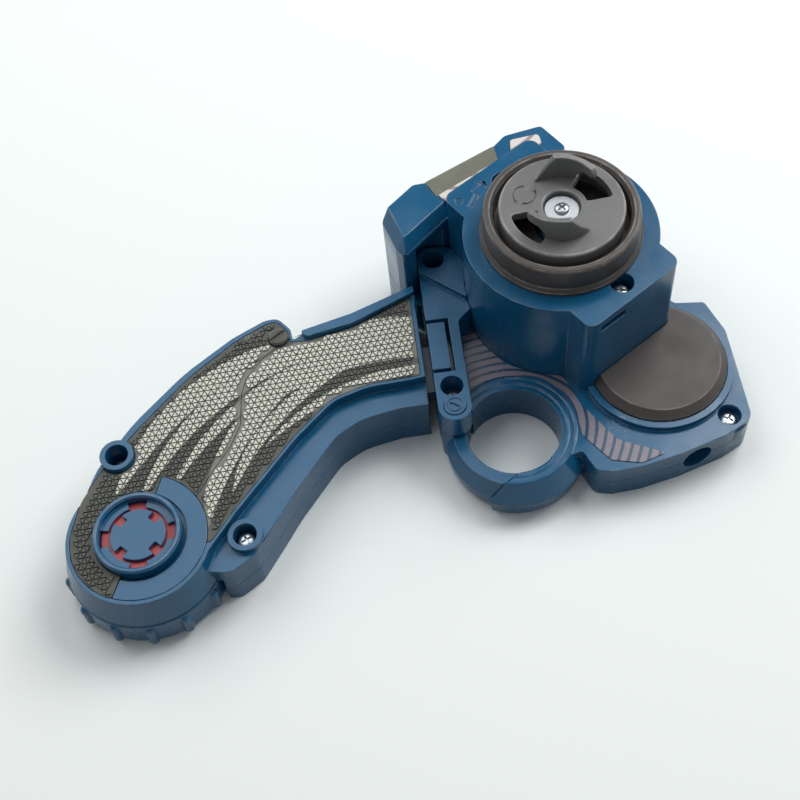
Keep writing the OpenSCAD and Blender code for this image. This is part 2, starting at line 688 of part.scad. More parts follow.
module head_upper_shell() color(blue) {
    posts = [corner_screw_c, top_hole_c, foot_hole_c];
    z0 = part_z + seat_gap;
    difference() {
        union() {
            difference() {
                slab(head_line, z0, deck_z);
                slab(inset(head_line, shell_wall), z0 - over, deck_under);
            }
            difference() {
                tube(cover_c, cover_rim_r, cover_r + seat_gap, deck_under, deck_z + cover_rim_h);
                tower_block(deck_z, deck_z + cover_rim_h + over, seat_gap);
            }
            for (p = posts) rod(p, head_post_r, z0, deck_under + seat_gap);
            for (p = [corner_screw_c, top_hole_c])
                rod(p, well_r + shell_wall, z0, deck_under + seat_gap);
            for (p = tower_screw_ends)
                rod(p, tower_post_r, deck_under, tower_screw_seat - column_floor - seat_gap);
            rod([0, 0], bush_r + shell_wall, deck_under, post_top);
            strap_wall(z0, deck_under + seat_gap);
            fixed_ring(upper_ring_profile);
        }
        rod(ring_c, ring_hole_r, z0 - over, deck_z + over);
        strap_rod(strap_hole_r, strap_depth);
        rod(corner_screw_c, well_r, corner_screw_seat, deck_z + over);
        rod(top_hole_c, well_r, top_screw_seat, deck_z + over);
        for (p = posts) rod(p, screw_r + seat_gap, z0 - over, deck_z + over);
        for (p = tower_screw_ends)
            rod(p, screw_r + seat_gap, deck_z + post_solid, tower_top);
        rod([0, 0], bush_r + seat_gap, post_top - bush_t, post_top + over);
        rod([0, 0], spindle_r + swing_gap, deck_z, post_top);
        rod(pivot_c, gate_eye_r + swing_gap, z0 - over, deck_z + over);
        translate([bracket_left - shell_wall, latch_y - latch_len / 2 - swing_gap, z0 - over])
            cube([3 * shell_wall, latch_len + 2 * swing_gap, deck_under - z0 + over]);
        stem_slot(deck_under - over, deck_z + over);
    }
}

module tower_housing() color(blue) {
    difference() {
        union() {
            difference() {
                tower_block(deck_z, tower_top, 0);
                tower_block(deck_z - over, ceiling_z, -tower_wall);
            }
            intersection() {
                for (p = tower_screw_ends)
                    rod(p, lug_column_r, tower_screw_seat - column_floor, ceiling_z + seat_gap);
                tower_block(deck_z, tower_top, -seat_gap);
            }
            rotate(lug_turn)
                translate([slot_u - strip_slot_w / 2 - guide_t, -guide_len / 2, slot_z])
                    cube([guide_t, guide_len, ceiling_z - slot_z + seat_gap]);
        }
        rod([0, 0], bush_r + seat_gap, ceiling_z - over, tower_top + over);
        for (p = tower_screw_ends) {
            rod(p, well_r, tower_screw_seat, tower_top + over);
            rod(p, screw_r + seat_gap, tower_screw_seat - column_floor - over, tower_top);
        }
        rotate(lug_turn) translate([slot_u - strip_slot_w / 2, -lug_front - over, slot_z])
            cube([strip_slot_w, lug_front + lug_back + 2 * over, strip_slot_h]);
        plate_signs();
    }
}

// Plain signs sunk in the tower plate: an arrow, and a toothed strip with its ring
module plate_signs() {
    sign_z = tower_top - mark_depth;
    rotate(lug_turn) {
        for (s = mark_shares)
            translate([s[0] * lug_w, s[1] * lug_w, sign_z]) rotate(s[4])
                cube([s[2] * lug_w, s[3] * lug_w, mark_depth + over]);
        tube(mark_ring_share * lug_w, mark_ring_r, mark_ring_r - mark_line, sign_z,
            tower_top + over);
    }
}

module launch_collar() color(dark_grey) {
    lip = collar_wall / 3;
    bore_r = bush_r + bush_wall;
    rotate_extrude() polygon([
        [bore_r, tower_top], [collar_r + collar_foot, tower_top],
        [collar_r + collar_foot, tower_top + collar_foot], [collar_r, tower_top + 2 * collar_foot],
        [collar_r, collar_top - lip], [collar_r - lip / 3, collar_top - lip / 3],
        [collar_r - lip, collar_top], [collar_in_r + lip, collar_top],
        [collar_in_r, collar_top - lip], [collar_in_r, tower_top + collar_floor],
        [bore_r, tower_top + collar_floor]]);
}

module round_cover() color(dark_grey)
    difference() {
        turned(cover_c, [
            [0, deck_z], [cover_r, deck_z], [cover_r, deck_z + cover_h - cover_bevel],
            [cover_r - cover_bevel, deck_z + cover_h], [0, deck_z + cover_h]]);
        tower_block(deck_z - over, deck_z + cover_h + over, seat_gap);
    }

module pod_housing() color(blue)
    difference() {
        union() {
            difference() {
                slab(pod_line, deck_z, pod_top);
                slab(inset(pod_line, shell_wall), deck_z - over, pod_hollow_top);
            }
            intersection() {
                rod(top_hole_c, pocket_r + shell_wall, deck_z, pod_hollow_top + seat_gap);
                slab(inset(pod_line, seat_gap), deck_z, pod_hollow_top + seat_gap);
            }
        }
        rod(top_hole_c, pocket_r, deck_z - over, pod_hollow_top - pocket_roof);
        slab(window_line, pod_top - window_t, pod_top + over);
        tower_block(deck_z - over, pod_top + over, seat_gap);
        for (i = [0 : 2]) edge_cut(pod_line[i], pod_line[i + 1], pod_top, pod_bevel_w, pod_bevel_h);
    }

module pod_window() color(olive_grey)
    slab(inset(window_line, seat_gap), pod_top - window_t, pod_top);

module pod_label() color(silver)
    difference() {
        slab(label_line, pod_top, pod_top + foil_t);
        slab(inset(window_line, -seat_gap), pod_top - over, pod_top + 2 * over);
        tower_block(pod_top - over, pod_top + 2 * over, seat_gap);
    }

module deck_foil() color(silver)
    difference() {
        slab(foil_line, deck_z, deck_z + foil_t);
        tower_block(deck_z - over, deck_z + 2 * over, seat_gap);
        rod(ring_c, ring_top_r + seat_gap, deck_z - over, deck_z + 2 * over);
        rod(cover_c, cover_rim_r + seat_gap, deck_z - over, deck_z + 2 * over);
        slab(inset(bracket_line, -seat_gap), deck_z - over, deck_z + 2 * over);
    }

module bracket() color(blue) {
    raised_z = bracket_top + pad_rise;
    difference() {
        union() {
            slab(bracket_line, deck_z, bracket_top);
            slab(raised_line, bracket_top - over, raised_z);
        }
        tower_block(deck_z - over, raised_z + over, seat_gap);
        rod(ring_c, ring_top_r + seat_gap, deck_z - over, deck_z + ridge_h + seat_gap);
        rod(top_hole_c, well_r, deck_z - over, raised_z + over);
        rod(foot_hole_c, well_r, foot_screw_seat, raised_z + over);
        rod(foot_hole_c, screw_r + seat_gap, deck_z - over, raised_z);
        rod(pivot_c, pivot_r + run_fit, deck_z - over, raised_z);
        rod(pivot_c, pivot_head_r + seat_gap, bracket_top - pivot_head_h, raised_z);
        translate([bracket_left - over, latch_y - latch_len / 2 - latch_groove, latch_floor_z])
            cube([latch_w + latch_groove + over, latch_len + 2 * latch_groove,
                raised_z - latch_floor_z]);
        stem_slot(deck_z - over, latch_floor_z + over);
    }
}

module latch_button() color(blue) {
    foot_top = tongue_under - swing_gap;
    nose_y = latch_foot_len / 2 - latch_nose_w;
    difference() {
        translate([bracket_left, latch_y - latch_len / 2, latch_under])
            cube([latch_w, latch_len, bracket_top - latch_under]);
        for (s = [-1, 1])
            rod([latch_stem_x, latch_y + s * latch_spring_reach], latch_spring_r + swing_gap,
                latch_under - over, latch_under + latch_spring_seat);
    }
    translate([latch_stem_x, latch_y - latch_stem_len / 2, foot_top - latch_foot_t])
        cube([latch_stem_w, latch_stem_len, latch_under - foot_top + latch_foot_t + over]);
    translate([latch_stem_x, latch_y - latch_foot_len / 2, foot_top - latch_foot_t])
        cube([latch_stem_w, latch_foot_len, latch_foot_t]);
    for (s = [0, 1])
        translate([latch_stem_x, latch_y - latch_foot_len / 2 + s * (nose_y + latch_foot_len / 2),
            foot_top - latch_foot_t])
            cube([latch_stem_w, latch_nose_w, latch_foot_t + latch_nose_h]);
}

module latch_spring() color(silver)
    for (s = [-1, 1])
        tube([latch_stem_x, latch_y + s * latch_spring_reach], latch_spring_r,
            latch_spring_r / 2, latch_floor_z, latch_under + latch_spring_seat);

// One layer of the gate: its arc, and its eye on the pivot pin
module gate_layer(profile, z0, z1) {
    spring_room = gate_spring_h / 2;
    difference() {
        union() {
            intersection() {
                difference() {
                    arc_body(ring_c, gate_start_a, gate_end_a, profile);
                    rod(pivot_c, gate_eye_r + swing_gap, -over, ear_t + swing_gap);
                }
                rod(pivot_c, seam_r, -over, deck_z);
            }
            rod(pivot_c, gate_eye_r, max(z0, ear_t + swing_gap), z1);
        }
        rod(ring_c, ring_hole_r, -over, deck_z);
        rod(pivot_c, pivot_r + run_fit, -over, deck_z);
        rod(pivot_c, gate_spring_r + swing_gap, part_z - spring_room, part_z + spring_room);
    }
}

module gate_upper() color(blue) gate_layer([
    [ring_hole_r - over, part_z], [gate_r, part_z], [gate_r - edge_bevel / 4, part_z + edge_bevel],
    [gate_flat_r, gate_top], [ring_hole_r + edge_bevel / 2, gate_top],
    [ring_hole_r - over, gate_top - edge_bevel / 2 - over]], part_z, gate_top);

module gate_lower() color(blue) gate_layer([
    [ring_hole_r - over, gate_floor + edge_bevel / 2 + over],
    [ring_hole_r + edge_bevel / 2, gate_floor], [gate_r - under_chamfer, gate_floor],
    [gate_r - edge_bevel / 2, gate_floor + under_chamfer * 2],
    [gate_r - edge_bevel / 4, part_z - seat_gap],
    [ring_hole_r - over, part_z - seat_gap]], gate_floor, part_z - seat_gap);

module gate_pivot_pin() color(blue) {
    head_z = bracket_top - pivot_head_h;
    head_top = bracket_top + pivot_head_rise;
    difference() {
        union() {
            rod(pivot_c, pivot_head_r, head_z, head_top);
            rod(pivot_c, pivot_r, gate_drop, head_z + over);
        }
        tube(pivot_c, pivot_head_r * 3 / 4, pivot_head_r * 5 / 8, bracket_top,
            head_top + over);
        translate([pivot_c[0], pivot_c[1], head_top]) rotate(-slot_slant)
            cube([pivot_head_r, pivot_head_r / 5, 3 * pivot_head_rise], center = true);
    }
}

module gate_spring() color(silver)
    tube(pivot_c, gate_spring_r, pivot_r + swing_gap, part_z - gate_spring_h / 2 + swing_gap,
        part_z + gate_spring_h / 2 - swing_gap);

module tower_screws() color(silver)
    for (p = tower_screw_ends) screw(p, tower_screw_seat, tower_screw_len);

module head_screws() color(silver)
    screw(corner_screw_c, corner_screw_seat, head_screw_len);

module bracket_screws() color(silver) {
    screw(top_hole_c, top_screw_seat, head_screw_len);
    screw(foot_hole_c, foot_screw_seat, bracket_screw_len);
}

// One prong of the claw disc, whose hook reaches over the window's far end
module prong() {
    r_in = prong_r - prong_t;
    difference() {
        arc_band([0, 0], hook_a, ramp_a, r_in, prong_r, disc_top - seat_gap, disc_top + prong_h);
        rotate(ramp_a) translate([r_in / 2, 0, disc_top])
            rotate([-atan(prong_h / ramp_run), 0, 0]) translate([0, -2 * prong_h, 0])
                cube([prong_r, 3 * prong_h, 3 * prong_h]);
    }
}

module claw_disc() color(mid_grey) {
    skirt_r = disc_r - collar_wall / 2;
    skirt_z = disc_top - disc_skirt_h;
    difference() {
        union() {
            rotate_extrude() polygon([
                [0, hub_seat], [spindle_flange_r, hub_seat], [spindle_flange_r, disc_under],
                [skirt_r, disc_under], [skirt_r, skirt_z], [disc_r, skirt_z],
                [disc_r, disc_top - disc_edge], [disc_r - disc_edge, disc_top],
                [disc_well_r + disc_edge, disc_top], [disc_well_r, disc_top - disc_edge],
                [disc_well_r, hub_floor], [0, hub_floor]]);
            for (a = claw_angles) rotate(a) prong();
        }
        rod([0, 0], screw_r + seat_gap, hub_seat - over, disc_top);
        for (a = claw_angles)
            arc_band([0, 0], a + window_start_a, a + window_end_a, window_r_in, window_r_out,
                disc_under - over, disc_top + hook_gap);
        rotate(turn_mark_a) tube([turn_mark_reach, 0], turn_mark_r, turn_mark_r - mark_line,
            disc_top - mark_depth, disc_top + over);
    }
}

module claw_washer() color(silver)
    tube([0, 0], washer_r, screw_r + seat_gap, hub_floor, hub_floor + washer_t);

module claw_screw() color(silver)
    screw([0, 0], hub_floor + washer_t, claw_screw_len);

module claw_spindle() color(mid_grey)
    difference() {
        union() {
            rod([0, 0], spindle_r, spindle_foot, hub_seat);
            rod([0, 0], spindle_flange_r, hub_seat - spindle_flange_h, hub_seat);
        }
        rod([0, 0], screw_r + seat_gap, hub_seat - claw_screw_len, hub_seat + over);
    }

module ratchet_cup() color(dark_grey) {
    wall_in_r = cup_r - cup_wall;
    difference() {
        union() {
            tube([0, 0], cup_r, spindle_r + seat_gap, cup_floor, cup_floor + cup_floor_t);
            tube([0, 0], cup_r, wall_in_r, cup_floor, cup_top);
            tube([0, 0], spindle_r + cup_wall, spindle_r + seat_gap, cup_floor - cup_h / 2,
                cup_floor + seat_gap);
        }
        for (i = [0 : cup_teeth - 1])
            rotate(i * 360 / cup_teeth)
                translate([wall_in_r - over, 0, cup_floor + cup_floor_t])
                    cube([over + cup_wall / 2, cup_wall, cup_h]);
    }
}

module drive_pinion() color(silver) {
    root_r = pinion_r - pinion_tooth_h;
    tooth_w = PI * pinion_r / pinion_teeth;
    difference() {
        union() {
            rod([0, 0], root_r, pinion_z, pinion_z + pinion_h);
            intersection() {
                rod([0, 0], pinion_r, pinion_z, pinion_z + pinion_h);
                for (i = [0 : pinion_teeth - 1])
                    rotate(i * 360 / pinion_teeth)
                        translate([root_r - over, -tooth_w / 2, pinion_z])
                            cube([pinion_tooth_h + 2 * over, tooth_w, pinion_h]);
            }
        }
        rod([0, 0], spindle_r + run_fit, pinion_z - over, pinion_z + pinion_h + over);
    }
}

module clutch_pawls() color(mid_grey) {
    z0 = cup_floor + cup_floor_t + swing_gap;
    pawl_reach = cup_r - cup_wall - swing_gap - pawl_hub_r;
    difference() {
        union() {
            rod([0, 0], pawl_hub_r, z0, pinion_z);
            for (a = claw_angles)
                rotate(a) translate([pawl_hub_r - over, 0, z0])
                    cube([pawl_reach, pawl_t, cup_top - z0]);
        }
        rod([0, 0], spindle_r + run_fit, z0 - over, pinion_z + over);
    }
}

module upper_bush() color(olive_grey)
    tube([0, 0], bush_r, spindle_r + run_fit, ceiling_z, tower_top + collar_floor);

module lower_bush() color(olive_grey)
    tube([0, 0], bush_r, spindle_r + run_fit, post_top - bush_t, post_top);

// The sunk bed of the pads, the bezel and the arc plate, cut from the grip's top
module pad_bed() {
    slab(pad_corners, pad_under, pad_z + over);
    rod(dial_c, bezel_r + seat_gap, pad_under, pad_z + over);
    arc_band(dial_c, arc_a0 - arc_gap_a, arc_a1 + arc_gap_a, 0, arc_r + seat_gap, pad_under,
        pad_z + over);
}

module grip_upper_shell() color(blue) {
    z0 = grip_part_z + seat_gap;
    bosses = [left_boss_c, right_boss_c];
    difference() {
        union() {
            difference() {
                union() {
                    slab(grip_corners, z0, grip_side_z);
                    slab(plateau_corners, grip_side_z - over, pad_z);
                    slab(rail_corners, grip_side_z - over, bracket_top);
                    turned(dial_c, [[0, cap_z], [cap_r, cap_z], [cap_top_r, pad_z],
                        [0, pad_z]]);
                }
                slab(inset(grip_corners, shell_wall), z0 - over, side_hollow_top);
                slab(inset(pad_corners, shell_wall), side_hollow_top - over, plate_under);
                rod(dial_c, cap_top_r - shell_wall, cap_z - over, plate_under);
            }
            rod(left_boss_c, boss_r, z0, pad_z + boss_rise);
            rod(right_boss_c, boss_r, z0, grip_side_z + side_boss_rise);
            rod(dial_c, dial_hub_r, cap_z, pad_under);
            translate([grip_root[0] - shell_wall, latch_y - latch_len / 2, tongue_under])
                cube([shell_wall + grip_gap + tongue_reach, latch_len, tongue_t]);
        }
        difference() {
            pad_bed();
            rod(left_boss_c, boss_r, pad_under - over, pad_z + boss_rise);
        }
        rod(dial_c, dial_room_r, z0 - over, cap_z);
        rod(dial_c, dial_shaft_r + run_fit, cap_z - over, pad_z);
        for (p = bosses) {
            rod(p, well_r, boss_seat, pad_z + boss_rise + over);
            rod(p, screw_r + seat_gap, z0 - over, boss_seat + over);
        }
        rod(click_c, click_r + seat_gap, cap_z - over, cap_z + click_spring_h);
        tongue_notches();
    }
}

// The way for the latch stem into the tongue's end, and the pockets for its two noses
module tongue_notches() {
    notch_y = latch_stem_len / 2 + swing_gap;
    pocket_y = notch_y + swing_gap;
    pocket_len = latch_nose_w + 2 * swing_gap;
    translate([latch_stem_x - swing_gap, latch_y - notch_y, tongue_under - over])
        cube([tongue_reach, 2 * notch_y, tongue_t + 2 * over]);
    for (s = [0, 1])
        translate([latch_stem_x - swing_gap, latch_y - pocket_y - pocket_len
            + s * (2 * pocket_y + pocket_len), tongue_under - over])
            cube([latch_stem_w + 2 * swing_gap, pocket_len, latch_nose_h + swing_gap + over]);
}

module grip_lower_shell() color(blue) {
    bosses = [left_boss_c, right_boss_c];
    difference() {
        union() {
            difference() {
                slab(grip_corners, 0, grip_part_z);
                slab(inset(grip_corners, shell_wall), shell_wall, grip_part_z + over);
            }
            for (p = bosses) rod(p, boss_r, shell_wall - seat_gap, grip_part_z);
        }
        rod(dial_c, dial_room_r, -over, grip_part_z + over);
        for (p = bosses) rod(p, screw_r + seat_gap, shell_wall, grip_part_z + over);
    }
}

// Both pads in one plate, clear of the dial, the left boss and the stud
module pad_plate() {
    difference() {
        slab(inset(pad_corners, seat_gap), pad_under, pad_z);
        rod(dial_c, bezel_r + seat_gap, pad_under - over, pad_z + over);
        arc_band(dial_c, arc_a0 - arc_gap_a, arc_a1 + arc_gap_a, 0, arc_r + seat_gap,
            pad_under - over, pad_z + over);
        rod(left_boss_c, boss_r + seat_gap, pad_under - over, pad_z + over);
        rod(stud_c, stud_r + seat_gap, pad_under - over, pad_z + over);
    }
}

module pad_half(shift, shares) {
    intersection() {
        pad_plate();
        translate([0, 0, pad_under - over]) linear_extrude(pad_t + 2 * over)
            polygon(concat(far_corners([far_shares[1], far_shares[0]]),
                seam_edge(shift), far_corners(shares)));
    }
}

module palm_pad() color(olive_grey) pad_half(-seat_gap / 2, palm_far_shares);

module thumb_pad() color(olive_grey) pad_half(seat_gap / 2, thumb_far_shares);

module pad_stud() color(mid_grey) {
    cap_h = stud_rise / 3;
    difference() {
        turned(stud_c, [[0, pad_under], [stud_r, pad_under],
            [stud_r, pad_z + stud_rise - cap_h], [stud_r - cap_h, pad_z + stud_rise],
            [0, pad_z + stud_rise]]);
        translate([stud_c[0], stud_c[1], pad_z + stud_rise]) rotate(slot_slant)
            cube([3 * stud_r, stud_r / 3, stud_rise], center = true);
    }
}

module arc_plate() color(blue)
    arc_band(dial_c, arc_a0, arc_a1, arc_r - arc_w, arc_r, pad_under, pad_z);

module dial_bezel() color(blue) {
    in_r = bezel_r - bezel_wall;
    top = pad_z + bezel_rise;
    edge = bezel_wall / 3;
    turned(dial_c, [[in_r, pad_under], [bezel_r, pad_under], [bezel_r, top - edge],
        [bezel_r - edge, top], [in_r + edge, top], [in_r, top - edge]]);
    for (a = [0, 90, 180, 270])
        arc_band(dial_c, a + lug_gap_a, a + 90 - lug_gap_a, hub_r + hub_gap, in_r + seat_gap,
            indicator_top + swing_gap, hub_top - hub_step);
}

module dial_wheel() color(blue) {
    rib_r = rib_h * 5 / 4;
    rib_top = dial_top - rib_h * 2;
    difference() {
        union() {
            turned(dial_c, [[0, dial_foot], [core_r - rib_h, dial_foot],
                [core_r, dial_foot + rib_h], [core_r, dial_top - rib_h / 2],
                [core_r - rib_h / 2, dial_top], [0, dial_top]]);
            for (i = [0 : rib_count - 1]) {
                a = rib_a + i * 360 / rib_count;
                p = dial_c + (dial_r - rib_r) * [cos(a), sin(a)];
                rod(p, rib_r, dial_foot + rib_h, rib_top);
                translate([p[0], p[1], rib_top]) sphere(r = rib_r);
            }
            rod(dial_c, dial_shaft_r, dial_foot, indicator_top);
        }
        difference() {
            rod(dial_c, core_r - 2 * shell_wall, dial_foot + shell_wall, dial_top + over);
            rod(dial_c, dial_hub_r, 0, dial_top + 2 * over);
        }
        translate([dial_c[0], dial_c[1], dial_top + click_lift]) rotate_extrude()
            translate([click_reach, 0]) circle(click_r + seat_gap);
        rod(dial_c, screw_head_r + seat_gap, dial_foot - over, dial_foot + dial_screw_well);
        rod(dial_c, screw_r + seat_gap, dial_foot, indicator_top + over);
        rod(dial_c, hub_stem_r + seat_gap, indicator_top - hub_stem_h, indicator_top + over);
    }
}

module indicator_ring() color(red)
    tube(dial_c, bezel_r - bezel_wall - swing_gap, dial_shaft_r + seat_gap, indicator_z,
        indicator_top);

module dial_hub() color(blue)
    difference() {
        union() {
            rod(dial_c, hub_r, indicator_top, hub_top);
            rod(dial_c, hub_stem_r, indicator_top - hub_stem_h + seat_gap,
                indicator_top + seat_gap);
        }
        for (a = [45, 135, 225, 315])
            translate([dial_c[0], dial_c[1], 0]) rotate(a)
                translate([hub_r - hub_notch, -hub_notch_w / 2, indicator_top - over])
                    cube([2 * hub_notch, hub_notch_w, hub_h + 2 * over]);
        rod(dial_c, screw_r + seat_gap, indicator_top - hub_stem_h, hub_top - hub_step);
    }

module dial_screw() color(silver)
    mirror([0, 0, 1]) screw(dial_c, -dial_foot - dial_screw_well, dial_screw_len);

module click_ball() color(silver)
    translate([click_c[0], click_c[1], dial_top + click_lift]) sphere(r = click_r);

module click_spring() color(silver)
    tube(click_c, click_r, click_r / 2, dial_top + click_lift + click_r, cap_z + click_spring_h);

module grip_screws() color(silver)
    for (p = [left_boss_c, right_boss_c]) screw(p, boss_seat, grip_screw_len);

head_lower_shell();
head_upper_shell();
tower_housing();
launch_collar();
round_cover();
pod_housing();
pod_window();
pod_label();
deck_foil();
bracket();
latch_button();
latch_spring();
gate_upper();
gate_lower();
gate_pivot_pin();
gate_spring();
tower_screws();
head_screws();
bracket_screws();
claw_disc();
claw_washer();
claw_screw();
claw_spindle();
ratchet_cup();
drive_pinion();
clutch_pawls();
upper_bush();
lower_bush();
grip_upper_shell();
grip_lower_shell();
palm_pad();
thumb_pad();
pad_stud();
arc_plate();
dial_bezel();
dial_wheel();
indicator_ring();
dial_hub();
dial_screw();
click_ball();
click_spring();
grip_screws();
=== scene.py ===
"""Looks of the spinning top launcher, dressed over its packed construction."""
import logging
import math
from dataclasses import dataclass, field
from enum import Enum
from typing import Callable, Sequence

import bpy
from mathutils import Matrix, Vector


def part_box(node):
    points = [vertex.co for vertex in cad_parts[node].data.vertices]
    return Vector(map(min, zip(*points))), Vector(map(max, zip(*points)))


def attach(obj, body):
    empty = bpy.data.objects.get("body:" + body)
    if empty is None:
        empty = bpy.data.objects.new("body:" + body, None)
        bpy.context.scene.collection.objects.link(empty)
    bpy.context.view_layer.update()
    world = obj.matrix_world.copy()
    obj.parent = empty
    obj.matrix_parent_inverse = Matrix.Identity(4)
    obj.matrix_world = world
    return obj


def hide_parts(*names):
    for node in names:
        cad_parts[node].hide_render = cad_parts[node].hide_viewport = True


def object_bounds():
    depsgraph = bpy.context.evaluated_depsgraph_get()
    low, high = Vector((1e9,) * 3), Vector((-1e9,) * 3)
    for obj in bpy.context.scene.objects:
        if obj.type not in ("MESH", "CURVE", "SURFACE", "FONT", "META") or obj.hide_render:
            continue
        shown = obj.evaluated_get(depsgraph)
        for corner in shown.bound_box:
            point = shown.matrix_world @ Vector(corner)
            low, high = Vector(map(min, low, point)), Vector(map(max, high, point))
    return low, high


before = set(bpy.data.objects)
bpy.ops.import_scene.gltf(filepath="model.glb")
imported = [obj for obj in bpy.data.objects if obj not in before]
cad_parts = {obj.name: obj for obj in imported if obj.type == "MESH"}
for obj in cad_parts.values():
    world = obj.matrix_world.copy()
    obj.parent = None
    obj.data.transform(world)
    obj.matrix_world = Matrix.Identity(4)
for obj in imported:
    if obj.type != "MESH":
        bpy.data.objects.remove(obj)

CAD_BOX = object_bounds()
MM = 0.001
LOG = logging.getLogger("launcher")
Piece = bpy.types.Object
Tree = bpy.types.NodeTree
Socket = bpy.types.NodeSocket
Pair = tuple[float, float]
Point = tuple[float, float, float]
Colour = tuple[float, float, float, float]
Test = Callable[[Vector], bool]
# Face attribute that marks the rounded edges, which the finishes paint lighter, partly as wear and partly as
# a painted highlight along them
EDGE = "worn_and_highlit_edge"
# Width in millimetres that no face reaches, so that split_thin takes every face
EVERY = 99.0
# Waves that Blender's wave texture draws per unit at a scale of 1
WAVES = 20 / math.tau


class Body(Enum):
    """Bodies of the frame that pieces ride on."""

    LAUNCHER = "launcher"
    CLAW = "claw_rotor"
    PINION = "pinion"
    GATE = "gate"
    LATCH = "latch"
    DIAL = "dial"


class Slot(Enum):
    """Material slots of the record, listed beside the modelled pieces."""

    BLUE = "blue_abs"
    GREY = "warm_grey_abs"
    DISC = "disc_grey_abs"
    STEEL = "zinc_steel"
    PAD = "pad_grey"
    WINDOW = "window_grey"
    LABEL = "label_silver"


# Nodes and colours
def linear(code: str) -> Colour:
    """Turns an sRGB hex code into a linear colour.

    Args:
        code: Six hex digits.

    Returns:
        Linear red, green and blue, and an alpha of 1.
    """
    parts = [int(code[i:i + 2], 16) / 255 for i in (0, 2, 4)]
    red, green, blue = (p / 12.92 if p <= 0.04045 else ((p + 0.055) / 1.055) ** 2.4 for p in parts)
    return (red, green, blue, 1.0)


def add(tree: Tree, kind: str, links: dict | None = None, **settings: object) -> bpy.types.Node:
    """Adds a node with its settings and links.

    Args:
        tree: Node tree that takes the node.
        kind: Node type without the ShaderNode prefix.
        links: Input name or index to a value, to the socket that feeds it, or to a node whose
            first output feeds it.
        **settings: Properties of the node.

    Returns:
        The new node.
    """
    node = tree.nodes.new("ShaderNode" + kind)
    for key, value in settings.items():
        setattr(node, key, value)
    for key, value in (links or {}).items():
        feed = value.outputs[0] if isinstance(value, bpy.types.Node) else value
        if isinstance(feed, Socket):
            tree.links.new(feed, node.inputs[key])
        else:
            node.inputs[key].default_value = feed
    return node


def per_mm(size_mm: float) -> float:
    """Gives the texture scale whose features are size_mm across."""
    return 1 / (size_mm * MM)


def blank(name: str) -> bpy.types.Material:
    """Returns a new material with an empty node tree."""
    made = bpy.data.materials.new(name)
    made.use_nodes = True
    made.node_tree.nodes.clear()
    return made


